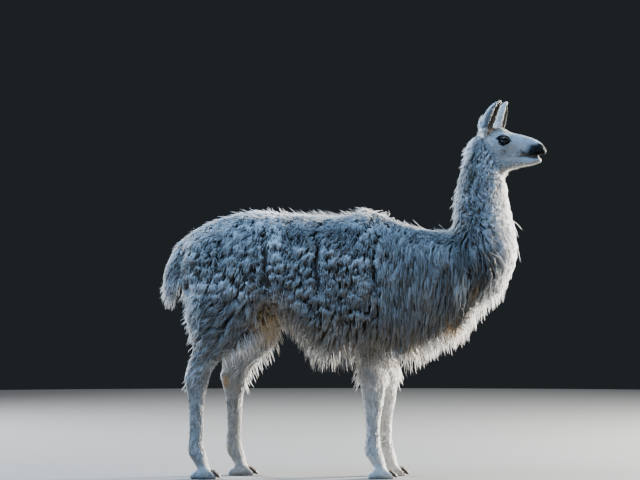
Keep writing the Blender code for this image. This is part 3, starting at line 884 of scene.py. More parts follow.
def hemLine():
    # the lowest reach of the fleece along the body
    points, corners = readMesh(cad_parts["trunk"].data)
    tris = points[corners]
    halves = [(tris[:, a] + tris[:, b]) / 2 for a, b in ((0, 1), (1, 2), (0, 2))]
    dense = np.concatenate([tris.reshape(-1, 3), tris.mean(axis=1), *halves])
    stops = np.arange(-0.30, 0.66, 0.03)
    levels = np.array([dense[np.abs(dense[:, 0] - stop) < 0.03, 2].min() for stop in stops])
    return stops, levels


hemStops, hemLevels = hemLine()
lumps = Lumps()


def guides(roots, normals, length, stray, rng, steps):
    # the middle line of each clump, with its frame
    count = len(roots)
    line = np.zeros((count, steps, 3))
    away = np.zeros((count, steps, 3))
    wander = ripple(roots, 0.09, 5) * stray * 1.4 + rng.normal(size=count) * stray * 0.55
    bend = rng.normal(size=count) * stray * 0.9
    place, normal = roots.copy(), normals.copy()
    stride = (length / (steps - 1))[:, None]
    floor = np.interp(roots[:, 0], hemStops, hemLevels) - 0.006
    floor = floor + 0.018 * ripple(roots, 0.03, 17) - rng.random(count) * 0.012
    trunk = (roots[:, 0] > -0.32) & (roots[:, 0] < 0.66)
    floor = np.where(trunk, floor, 0.36)
    for step in range(steps):
        line[:, step] = place
        away[:, step] = normal
        way = combAt(place, normal)
        side = np.cross(normal, way)
        turn = wander + bend * step / steps
        way = way * np.cos(turn)[:, None] + side * np.sin(turn)[:, None]
        beneath = smoothstep(-0.30, -0.60, normal[:, 2])[:, None]
        way = way * (1 - beneath) + np.array([0, 0, -1.0]) * beneath
        ahead = place + way * stride
        low = ahead[:, 2] < floor
        ahead[low, 2] = np.maximum(floor[low], np.minimum(place[low, 2], floor[low] + 0.002))
        hit, hitNormal = shell.nearest(ahead)
        loose = (hitNormal[:, 2] < -0.35) & trunk
        place = np.where(loose[:, None], ahead, hit)
        normal = np.where(loose[:, None], normal, hitNormal)
    return line, away


def lineFrames(middle, away):
    ahead = np.gradient(middle, axis=1)
    ahead /= np.linalg.norm(ahead, axis=2)[:, :, None] + tiny
    across = np.cross(ahead, away)
    across /= np.linalg.norm(across, axis=2)[:, :, None] + tiny
    return ahead, across, np.cross(across, ahead)


def sampled(lines, owner, places):
    # each line of an owner, read at places from 0 to 1 along it
    steps = lines.shape[1]
    s = np.clip(places, 0, 1) * (steps - 1)
    low = np.minimum(s.astype(int), steps - 2)
    between = (s - low)[:, :, None]
    pick = owner[:, None]
    return lines[pick, low] * (1 - between) + lines[pick, low + 1] * between


def clumpLines(points, normals, length, kind, block, rng):
    # each clump's middle line, from the skin out to the coat's face and in again at its tip
    steps = coatGrain["guide"]
    line, away = guides(points, normals, length, kind["stray"], rng, steps)
    depth = np.linalg.norm(under.nearest(points)[0] - points, axis=1)
    t = np.linspace(0, 1, steps)
    rise = 0.97 + (1 - 0.75 * block) * rng.uniform(-0.11, 0.07, len(points))
    quick = 0.70 - 0.28 * block
    climb = (1 - (1 - np.minimum(t[None, :] / quick[:, None], 1)) ** 2) * rise[:, None]
    climb -= kind["tuck"][:, None] * (np.maximum(t - 0.66, 0) / 0.34)[None, :] ** 2
    hanging = smoothstep(-0.25, -0.60, normals[:, 2])[:, None, None]
    rootPlace, _ = under.nearest(points - normals * (depth * 0.8)[:, None])
    straight = rootPlace[:, None, :] + (points - rootPlace)[:, None, :] * (t ** 0.9)[None, :, None]
    middle = line - away * (depth[:, None] * (1 - climb))[:, :, None]
    pull = smoothstep(0.30, 0, t)[None, :, None]
    middle = middle * (1 - pull) + (rootPlace[:, None, :] + (line - line[:, :1])) * pull
    return middle * (1 - hanging) + straight * hanging, away


def growClumps(name, points, normals, size, rng, part):
    kind, kinds = woolValues(points), woolKinds(points)
    block = kinds["block"]
    spacing = kind["spacing"] * size
    breadth = spacing * kind["widen"]
    length = kind["length"] * rng.uniform(0.78, 1.22, len(points)) * (0.5 + 0.5 * size)
    middle, away = clumpLines(points, normals, length, kind, block, rng)
    ahead, across, upward = lineFrames(middle, away)

    # strands lie side by side over a clump's domed back, some of them under it
    counts = np.clip(np.round(spacing * breadth / kind["strand"] ** 2 * 1.35), 3, 30).astype(int)
    owner = np.repeat(np.arange(len(points)), counts)
    first = np.repeat(np.cumsum(counts) - counts, counts)
    place = (np.arange(len(owner)) - first + 0.5) / counts[owner]
    total = len(owner)
    even, room = kind["even"][owner], spacing[owner]
    deck = rng.random(total) < 0.30
    place = (place * 2.0) % 1.0 * 2 - 1
    place = place * even + rng.uniform(-1, 1, total) * (1 - even) + rng.normal(size=total) * 0.08
    sideShift = place * breadth[owner] * 0.58
    alongShift = rng.uniform(-1, 1, total) * room * 0.45 * (1 - 0.5 * even)
    calm = 1 - 0.6 * block[owner]
    doming = -kind["dome"][owner] * room * place ** 2 - np.where(deck, 0.16, 0.0) * room * calm
    strandPlaces = points[owner] + across[owner, 3] * sideShift[:, None]
    doming += 0.16 * room * ripple(strandPlaces, 0.014, 33) * calm
    reach = rng.uniform(0.78, 1.06, total) * (1 - 0.16 * even * place ** 2)
    reach = reach + 0.08 * ripple(strandPlaces, 0.020, 35)
    reach = reach * even + rng.uniform(0.62, 1.12, total) * (1 - even)
    phase = rng.uniform(0, fullTurn, len(points))[owner] + rng.normal(size=total) * 0.8
    turns = rng.uniform(0.9, 2.6, len(points))[owner]
    girth = kind["width"][owner] * rng.uniform(0.70, 1.30, total)
    along = np.linspace(0, 1, coatGrain["rings"])
    places = along[None, :] * reach[:, None]
    acrossHere, upHere, aheadHere = (sampled(lines, owner, places) for lines in (across, upward, ahead))
    closing = 1 - kind["gather"][owner][:, None] * smoothstep(0.0, 1.0, along)[None, :]
    wave = turns[:, None] * fullTurn * along[None, :] + phase[:, None]
    swing = kind["crimp"][owner][:, None] * np.minimum(along * 3, 1)[None, :]
    lift = (doming - alongShift * 0.30 * calm)[:, None] * smoothstep(0.0, 0.4, along)[None, :] * closing
    centre = (
        sampled(middle, owner, places)
        + acrossHere * (sideShift[:, None] * closing + swing * np.sin(wave))[:, :, None]
        + aheadHere * (alongShift[:, None] * (1 - 0.5 * along)[None, :])[:, :, None]
        + upHere * (lift + swing * 0.6 * np.cos(wave))[:, :, None]
    )

    # clefts and creases press the matted wool in; painted shade darkens it down the clefts, in the creases between
    # lumps and below each lump's middle
    curled = 0.42 * kinds["neck"] + 0.65 * kinds["chest"] * smoothstep(0.76, 0.86, points[:, 2])
    curled *= smoothstep(0.02, -0.08, faceward(points)) * smoothstep(0.62, 0.56, points[:, 0])
    matted = (block + 0.35 * kinds["thigh"] + curled)[owner][:, None]
    clear = np.ones(total, dtype=bool)
    darkness = np.broadcast_to(markAndLightAt(points)[owner][:, None], places.shape)
    clumpTone = rng.normal(size=len(points))[owner] * (0.45 + 0.50 * kinds["lock"][owner])
    tone = np.broadcast_to((clumpTone + rng.normal(size=total) * 0.35)[:, None], places.shape)
    if matted.max() > 0.02:
        deep, lumpTone, below = (values.reshape(places.shape) for values in lumps.at(centre.reshape(-1, 3)))
        cleft = cleftAt(centre.reshape(-1, 3)).reshape(places.shape)
        clear = cleft[:, 1:].max(axis=1) < 0.68
        deep = np.maximum(deep, 1.40 * cleft)
        centre = centre - upHere * (lump["deep"] * deep * matted * np.minimum(along * 4, 1))[:, :, None]
        high = smoothstep(1.12, 0.98, centre[:, :, 2])
        # painted shade: darker deep in the creases and clefts and below each lump's middle, less so high up the
        # back
        shade = 0.60 * smoothstep(0.15, 0.85, deep) + 0.55 * np.clip(below, -0.3, 0.5)
        darkness = np.clip(darkness + shade * matted * (0.15 + 0.85 * high), 0, 1)
        # painted shade, darkest down the middle of each upright cleft
        darkness = np.clip(darkness + 0.95 * smoothstep(0.20, 0.70, cleft), 0, 1)
        # the painted sunlight on the chest lifts the darkness there
        darkness = darkness * offSunPatch(points)[owner][:, None]
        # the lumps' own tones, with painted shade below each lump's middle, in the clefts and in the creases
        tone = tone * (1 - 0.6 * matted) + (0.9 * lumpTone - 1.2 * below) * matted
        tone = tone - 2.0 * smoothstep(0.15, 0.65, cleft) - 0.8 * smoothstep(0.35, 0.90, deep) * matted * high
    # lighter tone, partly the wool's own white and partly painted light: the backlit glow down the front and at the
    # tail's tip, light from above on the rump's top and the pool of sunlight on the chest; darker at the neck's
    # base
    light = 1.6 * paleAndLitAt(points) - 1.5 * neckBase(points) + 3.0 * chestSunPatch(points)
    tone = tone + light[owner][:, None]

    template, corners, patch = lockTemplate(coatGrain["rings"])
    ring = np.round(template[:, 2] * (coatGrain["rings"] - 1)).astype(int)
    blunt = (0.92 - 0.30 * even)[:, None]
    swollen = (0.75 + 0.40 * np.sin(math.pi * np.minimum(along * 1.1, 1)))[None, :]
    half = (girth[:, None] * (swollen * (1 - (along ** 3)[None, :] * blunt)))[:, ring]
    verts = (
        centre[:, ring]
        + acrossHere[:, ring] * (template[:, 0][None, :] * half)[:, :, None]
        + upHere[:, ring] * (template[:, 1][None, :] * half * 0.62)[:, :, None]
    )
    outward = template[:, 2][None, :] * (1 - 0.55 * matted) + 0.55 * matted
    facts = {"along": outward, "tone": tone[:, ring], "darkness": darkness[:, ring], "tint": tintAt(points)[owner][:, None]}
    facts = {fact: values[clear] for fact, values in facts.items()}
    joinedStrands(name, verts[clear], corners, patch, bakePlaces(strandPlaces[clear], part), woolLook, **facts)


def joinedStrands(name, verts, corners, patch, places, look, **given):
    # many strands of one shape, joined as one piece with what the coat's colour reads
    total, each = verts.shape[:2]
    faces = (corners[None, :, :] + (np.arange(total) * each)[:, None, None]).reshape(-1, 3)
    patches = (places[:, None, None, :] + (patch - 0.5)[None, :, :, :] * 0.003).reshape(-1, 2)
    names = ("along", "tone", "darkness", "tint", "sootAndShade")
    facts = {fact: np.broadcast_to(given.get(fact, 0.0), (total, each)) for fact in names}
    piece = meshPiece(name, verts.reshape(-1, 3), faces, patches, facts, look)
    print(name, "strands", total, "triangles", len(faces))


def joinedTubes(name, line, across, upward, rings, girth, taper, bake, look, flat=1.0, start=0.0, **given):
    # one tube along each line; taper says how much of its girth it loses, and how late
    template, corners, patch = lockTemplate(rings)
    along = template[:, 2]
    owner = np.arange(len(line))
    places = np.broadcast_to(along, (len(line), len(along)))
    half = girth[:, None] * (1 - taper[0] * along ** taper[1])[None, :]
    verts = (
        sampled(line, owner, places)
        + sampled(across, owner, places) * (template[:, 0][None, :] * half)[:, :, None]
        + sampled(upward, owner, places) * (template[:, 1][None, :] * half * flat)[:, :, None]
    )
    joinedStrands(name, verts, corners, patch, bake, look, along=along * (1 - start) + start, **given)


def growWisps(name, points, normals, rng, part):
    # thin loose hairs that lie over the clumps and stand a little out of them
    steps = 6
    block = woolKinds(points)["block"]
    length = rng.uniform(0.045, 0.095, len(points)) * (1 - 0.35 * block)
    line, away = guides(points, normals, length, woolValues(points)["stray"] + 0.30, rng, steps)
    t = np.linspace(0, 1, steps)
    onTop = smoothstep(0.4, 0.8, normals[:, 2])
    peaks = 0.45 + 1.25 * smoothstep(0.0, 0.8, ripple(points, 0.030, 97))
    peaks *= 1 - 0.5 * smoothstep(-0.30, -0.45, points[:, 0])
    stand = (rng.gamma(1.6, 0.0038 + 0.0016 * onTop) - 0.004 + 0.003 * onTop) * peaks
    stand = np.minimum(stand, 0.032)
    sunk = 0.010
    middle = line + away * ((stand[:, None] + sunk) * (t ** 0.7)[None, :] - sunk)[:, :, None]
    curl = rng.uniform(0.002, 0.006, len(points))
    phase = rng.uniform(0, fullTurn, len(points))
    turns = rng.uniform(0.6, 1.8, len(points))
    _, across, upward = lineFrames(middle, away)
    wave = turns[:, None] * fullTurn * t[None, :] + phase[:, None]
    middle = middle + across * (curl[:, None] * np.sin(wave))[:, :, None]
    girth = rng.uniform(0.0006, 0.0012, len(points))
    base = neckBase(points)
    # the loose hairs are paler than the clumps: painted light for the rim light they catch where they stand out;
    # darker at the neck's base, and painted white in the pool of sunlight on the chest
    tone = rng.normal(size=len(points)) * 0.5 + 0.7 - 1.8 * base + 2.0 * chestSunPatch(points)
    facts = {"tone": tone, "darkness": markAndLightAt(points) * (0.75 + 0.25 * base), "tint": tintAt(points)}
    facts = {fact: values[:, None] for fact, values in facts.items()}
    bake = bakePlaces(points, part)
    joinedTubes(name, middle, across, upward, 4, girth, (0.75, 2), bake, woolLook, start=0.5, **facts)


def frontAmount(points):
    # 1 down the throat and the chest
    x, _, z = points.T
    return smoothstep(0.10, 0.20, x - np.interp(z, (0.55, 0.75, 1.0, 1.3), (0.33, 0.40, 0.47, 0.43)))


def paleAndLitAt(points):
    # where the wool is palest: down the throat and chest, over the rump's top and at the tail's tip; partly the
    # wool's own white, partly painted light: the backlit glow down the front and at the tail's tip, and light from
    # above on the rump's top
    x, _, z = points.T
    top = 0.5 * smoothstep(0.98, 1.08, z) * smoothstep(0.2, 0.0, x)
    tip = tailAmount(points) * smoothstep(0.92, 0.80, z)
    return np.maximum(np.maximum(frontAmount(points), top), tip)


def neckBase(points):
    # the short curls on the side, where the neck meets the shoulder
    x, _, z = points.T
    return np.exp(-(((x - 0.465) / 0.12) ** 2 + ((z - 0.92) / 0.16) ** 2) ** 1.3)


def chestSunPatch(points):
    # painted light: a small pool of sunlight low on the right of the chest, painted white on the wool rooted there
    x, y, z = points.T
    return np.exp(-(((x - 0.448) / 0.028) ** 2 + ((z - 0.880 + 0.5 * (x - 0.448)) / 0.042) ** 2)) * (y < 0)


# how much of the coat's darkness is kept: less where the painted sunlight on the chest falls
def offSunPatch(points):
    return 1 - np.minimum(1.3 * chestSunPatch(points), 1)


def markAndLightAt(points):
    # 0 where the coat is white, 1 where it is darkest; lightened in places by painted light
    x, y, z = points.T
    saddle = smoothstep(-0.78, -0.50, x) * smoothstep(0.66, 0.45, x) * smoothstep(0.60, 0.80, z)
    low = smoothstep(1.08, 0.84, z + 0.07 * smoothstep(-0.30, -0.45, x))
    darkness = 0.10 * saddle + 0.66 * saddle * low
    throatLine = np.interp(z, (1.0, 1.15, 1.3, 1.4), (0.50, 0.50, 0.535, 0.52))
    neck = smoothstep(1.00, 1.16, z) * smoothstep(0.04, -0.03, x - throatLine)
    neck = (0.10 + 0.18 * smoothstep(1.24, 1.06, z)) * neck * smoothstep(-0.03, -0.13, faceward(points))
    darkness = np.maximum(darkness, neck)
    darkness = np.maximum(darkness, 1.35 * neckBase(points))
    thigh = smoothstep(-0.30, -0.42, x) * smoothstep(0.46, 0.58, z)
    darkness = np.maximum(darkness, 0.74 * thigh)
    # painted light: the front of the far thigh is lightened where backlight falls on it
    stifle = 0.95 * smoothstep(-0.52, -0.43, x) * smoothstep(-0.28, -0.34, x)
    darkness *= 1 - stifle * smoothstep(0.76, 0.68, z) * smoothstep(-0.02, 0.03, y)
    belly = smoothstep(-0.36, -0.26, x) * smoothstep(0.60, 0.50, x) * smoothstep(0.50, 0.60, z)
    darkness = np.maximum(darkness, 0.92 * belly)
    darkness *= 1 - 0.70 * tailAmount(points)
    # paler along the hem: partly the wool's own white, partly painted light where backlight glows through it
    hem = np.interp(x, hemStops, hemLevels)
    darkness *= 1 - 0.85 * smoothstep(hem + 0.050, hem + 0.005, z) * smoothstep(-0.34, -0.28, x)
    # paler down the throat and chest: partly the wool's own white, partly painted light for the backlit glow there
    darkness *= 1 - 0.8 * frontAmount(points)
    darkness += 0.34 * ripple(points, 0.09, 3) * smoothstep(0.02, 0.3, darkness)
    # the darkness is lifted where the painted sunlight on the chest falls
    return np.clip(darkness, 0, 1) * offSunPatch(points)


def tintAt(points):
    # where light comes warm through the wool, and where it is stained tan
    x, _, z = points.T
    fold = mound(x, z, (-0.365, 0.665), (0.045, 0.075))
    brisket = mound(x, z, (0.415, 0.665), (0.030, 0.055))
    throat = mound(x, z, (0.515, 0.838), (0.018, 0.022))
    stain = 0.09 * smoothstep(0.25, 0.8, ripple(points, 0.05, 51)) * smoothstep(1.10, 0.95, z)
    stain += 0.20 * smoothstep(-0.36, -0.26, x) * smoothstep(0.36, 0.26, x) * smoothstep(0.74, 0.64, z)
    return np.clip(fold + 1.3 * brisket + 0.5 * throat + stain, 0, 1)


coatColours = {
    "palest": (0.86, 0.85, 0.83),
    "pale": (0.64, 0.63, 0.61),
    "grey": (0.34, 0.335, 0.325),
    "darkest": (0.075, 0.070, 0.062),
    "tan": (0.74, 0.44, 0.14),
    # soot: the dark skin's colour, also used for painted shade in the ears' hollows and between the lips
    "sootAndShade": (0.005, 0.0048, 0.0056),
    # root: partly the wool's own darker roots, partly painted shade deep in the coat and on the skin under it
    "root": (0.10, 0.085, 0.07),
}


def setInputs(tree, node, inputs):
    # each input is a value, or another node's socket
    for socket, value in inputs.items():
        if isinstance(value, bpy.types.NodeSocket):
            tree.links.new(value, node.inputs[socket])
        else:
            node.inputs[socket].default_value = value


def addNode(tree, kind, inputs, **settings):
    node = tree.nodes.new("ShaderNode" + kind)
    for setting, value in settings.items():
        setattr(node, setting, value)
    setInputs(tree, node, inputs)
    return node


def mixed(tree, factor, first, second, **settings):
    colours = {"Factor": factor, 6: first, 7: second}
    return addNode(tree, "Mix", colours, data_type="RGBA", **settings).outputs[2]


def attributeOf(tree, name, part="Fac"):
    return addNode(tree, "Attribute", {}, attribute_name=name).outputs[part]


def ranged(tree, value, low, high, start=0, end=1):
    inputs = {"Value": value, "From Min": low, "From Max": high, "To Min": start, "To Max": end}
    return addNode(tree, "MapRange", inputs).outputs["Result"]


def objectNoise(tree, scale, detail, stretch=(1, 1, 1)):
    place = addNode(tree, "TexCoord", {}).outputs["Object"]
    mapped = addNode(tree, "Mapping", {"Vector": place, "Scale": stretch}).outputs["Vector"]
    return addNode(tree, "TexNoise", {"Vector": mapped, "Scale": scale, "Detail": detail}).outputs["Fac"]


def ramped(tree, value, stops):
    node = addNode(tree, "ValToRGB", {"Fac": value})
    elements = node.color_ramp.elements
    for index, (place, colour) in enumerate(stops):
        stop = elements[index] if index < 2 else elements.new(place)
        stop.position = place
        stop.color = (*colour, 1)
    return node.outputs["Color"]


def bumped(tree, surface, height, strength, distance):
    bump = addNode(tree, "Bump", {"Height": height, "Strength": strength, "Distance": distance})
    setInputs(tree, surface, {"Normal": bump.outputs["Normal"]})


def nodeMaterial(name, roughness, specular):
    made = bpy.data.materials.new(name)
    made.use_nodes = True
    surface = made.node_tree.nodes["Principled BSDF"]
    setInputs(made.node_tree, surface, {"Roughness": roughness, "Specular IOR Level": specular})
    return made, surface, made.node_tree


def coatGroup():
    # the coat's colour from its markings, shared by the wool, the short hair and the skin; it also takes painted
    # light and shade, and deep in the coat it is drawn to the root colour, partly the wool's own darker roots and
    # partly painted shade
    group = bpy.data.node_groups.new("coatColour", "ShaderNodeTree")
    for name in ("tone", "darkness", "tint", "sootAndShade", "root"):
        group.interface.new_socket(name, in_out="INPUT", socket_type="NodeSocketFloat")
    group.interface.new_socket("colour", in_out="OUTPUT", socket_type="NodeSocketColor")
    given = group.nodes.new("NodeGroupInput").outputs
    result = group.nodes.new("NodeGroupOutput")
    colours = {name: (*colour, 1) for name, colour in coatColours.items()}
    shade = ranged(group, given["tone"], -1.5, 1.5)
    light = mixed(group, shade, colours["pale"], colours["palest"])
    dark = mixed(group, shade, colours["darkest"], colours["grey"])
    body = mixed(group, given["darkness"], light, dark)
    tinted = mixed(group, given["tint"], body, colours["tan"])
    # dark skin, and painted shade in the ears' hollows and between the lips
    sootedAndShaded = mixed(group, given["sootAndShade"], tinted, colours["sootAndShade"])
    # painted shade deep in the coat: near the roots, and on the skin under the wool, the colour is drawn to the
    # root colour, more where the coat is darker
    deepness = addNode(group, "Math", {0: given["darkness"], 1: 0.75, 2: 0.30}, operation="MULTIPLY_ADD")
    factors = {0: deepness.outputs[0], 1: given["root"]}
    rooted = addNode(group, "Math", factors, operation="MULTIPLY", use_clamp=True)
    setInputs(group, result, {"colour": mixed(group, rooted.outputs[0], sootedAndShaded, colours["root"])})
    return group


colourGroup = coatGroup()


def coatColour(tree, sources):
    # the shared colour group, each of its inputs fed by an attribute or a socket
    colour = tree.nodes.new("ShaderNodeGroup")
    colour.node_tree = colourGroup
    for socket, value in sources.items():
        setInputs(tree, colour, {socket: attributeOf(tree, value) if isinstance(value, str) else value})
    return colour.outputs["colour"]


def hairMaterial(name, rootFade, sheen, specular):
    made, surface, tree = nodeMaterial(name, 0.85, specular)
    sources = {fact: fact for fact in ("tone", "darkness", "tint", "sootAndShade")}
    # the strands darken towards their roots: partly the wool's own darker roots, partly painted shade deep in the
    # coat
    sources["root"] = ranged(tree, attributeOf(tree, "along"), 0.0, 0.45, rootFade, 0.0)
    setInputs(tree, surface, {
        "Subsurface Weight": 0.35,
        "Subsurface Radius": (1.0, 0.85, 0.65),
        "Subsurface Scale": 0.012,
        "Sheen Weight": sheen,
        "Sheen Roughness": 0.4,
        "Base Color": coatColour(tree, sources),
        "Roughness": ranged(tree, attributeOf(tree, "tone"), -2, 2, 0.95, 0.70),
    })
    return made


woolLook = hairMaterial("wool", 0.85, 0.28, 0.25)
hairLook = hairMaterial("shortHairs", 0.30, 0.0, 0.05)


def skinMaterial():
    made, surface, tree = nodeMaterial("shortHair", 0.8, 0.12)
    tone = ranged(tree, objectNoise(tree, 90, 3), 0.3, 0.7, -1.0, 1.0)
    # the skin under the wool is drawn to the root colour: painted shade deep in the coat
    sources = {"tone": tone, "darkness": "darkness", "tint": "tint", "sootAndShade": "sootAndShade", "root": "wooled"}
    setInputs(tree, surface, {
        "Base Color": coatColour(tree, sources),
        "Roughness": ranged(tree, attributeOf(tree, "sootAndShade"), 0, 1, 0.85, 0.70),
    })
    bumped(tree, surface, objectNoise(tree, 420, 3, (0.6, 1, 0.35)), 0.60, 0.0014)
    return made


def paintSkin():
    points, _ = readMesh(skinData)
    normals = vertexNormals(skinData)
    # wooled: where the skin lies under wool; there it takes the coat's darkness and painted shade, so gaps in the
    # coat read dark, less of it up the neck
    wooled = (1 - faceAmount(points)) * smoothstep(0.0, 0.05, points[:, 2] - woolEnd(points))
    wooled *= 1 - 0.6 * smoothstep(1.08, 1.20, points[:, 2])
    # under the wool the skin takes the coat's darkness, with painted shade down the upright clefts
    underWool = np.minimum(markAndLightAt(points) + cleftAt(points), 1)
    addFacts(skinData, {
        "wooled": wooled,
        "sootAndShade": sootAndShadeAt(points, normals),
        "tint": hairTint(points, normals),
        "darkness": hairMark(points) * (1 - wooled) + underWool * wooled,
    })
    skinData.materials.clear()
    skinData.materials.append(skinMaterial())


def growFleece():
    rng = np.random.default_rng(7)
    points, normals = shell.scatter(coatGrain["clumps"], rng)
    wooled = (faceAmount(points) < 0.35) & (points[:, 2] > woolEnd(points)) & (points[:, 2] < 1.50)
    points, normals = points[wooled], normals[wooled]
    order = np.arange(len(points))
    chosen = order < coatGrain["wisps"]
    chosen |= (normals[:, 2] > 0.45) & (order < 3 * coatGrain["wisps"])
    chosen &= cleftAt(points) < 0.25
    loosePoints, looseNormals = points[chosen], normals[chosen]
    values, block = woolValues(points), woolKinds(points)["block"]
    size = np.exp(rng.normal(size=len(points)) * (0.10 + 0.16 * block))
    size *= 1 - 0.45 * smoothstep(-0.14, 0.0, faceward(points))
    size *= 1 + 0.30 * smoothstep(0.25, 0.7, normals[:, 2]) * block
    across = np.cross(combAt(points, normals), normals)
    kept = spread(points, values["spacing"] * size * 0.88, across, values["widen"])
    points, normals, size = points[kept], normals[kept], size[kept]
    for number, (name, chosen, part) in enumerate(sortedParts(points)):
        partRng = np.random.default_rng(100 + number)
        growClumps("wool" + name, points[chosen], normals[chosen], size[chosen], partRng, part)
    x = loosePoints[:, 0]
    spans = (("Rear", x < -0.2), ("Middle", (x >= -0.2) & (x < 0.3)), ("Front", x >= 0.3))
    for number, (name, chosen) in enumerate(spans):
        partRng = np.random.default_rng(200 + number)
        growWisps("wisps" + name, loosePoints[chosen], looseNormals[chosen], partRng, "trunk")


def growFringe():
    # long pale hair that hangs free from the front of the hind legs, and curls behind them and
    # at the tail's tip
    rng = np.random.default_rng(301)
    points, normals = shell.scatter(coatGrain["fringes"], rng)
    x, y, z = points.T

    def sparse(share):
        return rng.random(len(x)) < share

    front = (normals[:, 0] > 0.30) & (x > -0.56) & (x < -0.28) & (z > 0.40) & (z < 0.70) & sparse(0.22)
    fore = (z > 0.42) & (z < 0.56) & (np.abs(x - 0.105) < 0.14) & (normals[:, 2] > -0.6) & sparse(0.55)
    behind = (normals[:, 0] < -0.45) & (x < -0.60) & (z > 0.40) & (z < 0.80) & sparse(0.22)
    tip = (tailAmount(points) > 0.5) & (z < 0.85) & sparse(0.8)
    nape = (normals[:, 0] < -0.15) & (z > 1.30) & (z < 1.455) & (x < 0.56) & (np.abs(y) < 0.055)
    nape &= sparse(0.8 * smoothstep(1.31, 1.40, z))
    curls = (np.abs(normals[:, 0]) > 0.70) & (z > 1.06) & (z < 1.36) & (x > 0.36) & sparse(0.06)
    # each fringe: its roots, its reach, how far forward it leans and how wide it curls
    fringes = (
        ("fringeFront", front, 0.062, 0.10, 0.003),
        ("fringeBehind", behind, 0.045, -0.22, 0.008),
        ("fringeFore", fore, 0.060, -0.06, 0.003),
        ("fringeTail", tip, 0.050, -0.05, 0.008),
        ("fringeNape", nape, 0.038, -0.85, 0.003),
        ("fringeNeck", curls, 0.042, -0.30, 0.010),
    )
    t = np.linspace(0, 1, 7)
    for name, chosen, reach, forward, loop in fringes:
        roots, outward = points[chosen], normals[chosen]
        length = reach * rng.uniform(0.5, 1.2, len(roots))
        way = outward * 0.35 + np.array([forward, 0, -1.0]) + rng.normal(size=roots.shape) * 0.10
        way /= np.linalg.norm(way, axis=1)[:, None]
        curl = (loop * rng.uniform(0.4, 1.2, len(roots)))[:, None]
        phase, turns = rng.uniform(0, fullTurn, len(roots)), rng.uniform(0.5, 1.6, len(roots))
        wave = turns[:, None] * fullTurn * t[None, :] + phase[:, None]
        bow = 0.030 * (length[:, None] / 0.08) * (np.sin(t * 1.9))[None, :] * 0.25
        side, out = np.cross(way, outward)[:, None, :], outward[:, None, :]
        line = (
            (roots - outward * 0.012)[:, None, :]
            + way[:, None, :] * (length[:, None] * t[None, :])[:, :, None]
            + out * bow[:, :, None]
            + side * (curl * np.sin(wave))[:, :, None]
            + out * (curl * np.cos(wave) * t[None, :])[:, :, None]
        )
        _, across, upward = lineFrames(line, np.broadcast_to(out, line.shape))
        girth = rng.uniform(0.0010, 0.0019, len(roots))
        # the fringes are near white: partly the wool's own white, partly painted light for the backlight glowing
        # through them
        facts = {"tone": 0.8, "darkness": 0.05, "tint": tintAt(roots)[:, None] * 0.8}
        bake = bakePlaces(roots, "trunk")
        joinedTubes(name, line, across, upward, 5, girth, (0.7, 2), bake, woolLook, start=0.5, **facts)


def woolEnd(points):
    # the level where the wool gives way to the legs' short hair
    x = points[:, 0]
    return np.where(x < -0.25, 0.445, 0.50) + 0.020 * ripple(points, 0.03, 61)


def sortedParts(points):
    x, y, z = points.T
    neck = (z > 1.06) & (x > 0.36)
    tail = tailAmount(points) > 0.5
    trunk = ~neck & ~tail
    parts = [("Neck", neck, "neck"), ("Tail", tail, "trunk")]
    for sideName, side in (("Right", y < 0), ("Left", y >= 0)):
        parts.append(("Rump" + sideName, trunk & side & (x < -0.33), "trunk"))
        parts.append(("Flank" + sideName, trunk & side & (x >= -0.33) & (x < 0.08), "trunk"))
        parts.append(("Shoulder" + sideName, trunk & side & (x >= 0.08) & (x < 0.34), "trunk"))
        parts.append(("Chest" + sideName, trunk & side & (x >= 0.34), "trunk"))
    return parts


shortGrain = {
    "face": 11800,
    "ears": 3200,
    "legs": 10800,
}


def hairMark(points):
    # the short hair's grey: paler on the forelegs, darker on the hind legs and the right ear's back
    x, _, z = points.T
    darkness = np.full(len(points), 0.24) - 0.12 * smoothstep(0.55, 0.45, z) * (x > -0.3)
    darkness = np.maximum(darkness, 0.95 * rightEarBack(points))
    legs = smoothstep(0.55, 0.45, z)
    darkness = np.maximum(darkness, legs * np.where(x < -0.3, 0.58, 0.12))
    return np.clip(darkness + 0.12 * ripple(points, 0.02, 91), 0, 1)


def hairTint(points, normals):
    # tan on the left hind leg's gland, and a little in patches
    x, y, z = points.T
    gland = mound(x, z, (-0.548, 0.415), (0.016, 0.034)) * (normals[:, 1] < 0) * (y > 0)
    return 0.75 * gland + 0.10 * smoothstep(0.3, 0.9, ripple(points, 0.03, 93))


def headComb(points, normals):
    x, y, z = headPlaces(points).T
    way = np.zeros_like(points)
    way[:, 0] = -1
    way[:, 1] = 0.25 * np.sign(y)
    way[:, 2] = -0.12 - 0.55 * smoothstep(0.66, 0.58, x) * smoothstep(1.46, 1.40, z)
    way[:, 2] += 0.6 * smoothstep(0.66, 0.62, x) * smoothstep(1.452, 1.466, z)
    ear = smoothstep(1.476, 1.494, points[:, 2])[:, None]
    return laidOn(worldWays(way) * (1 - ear) + np.array([0.33, 0, 0.94]) * ear, normals)


def legComb(points, normals):
    way = np.zeros_like(points)
    way[:, 0] = -0.10 + 0.45 * smoothstep(0.10, 0.04, points[:, 2])
    way[:, 2] = -1
    return laidOn(way, normals)


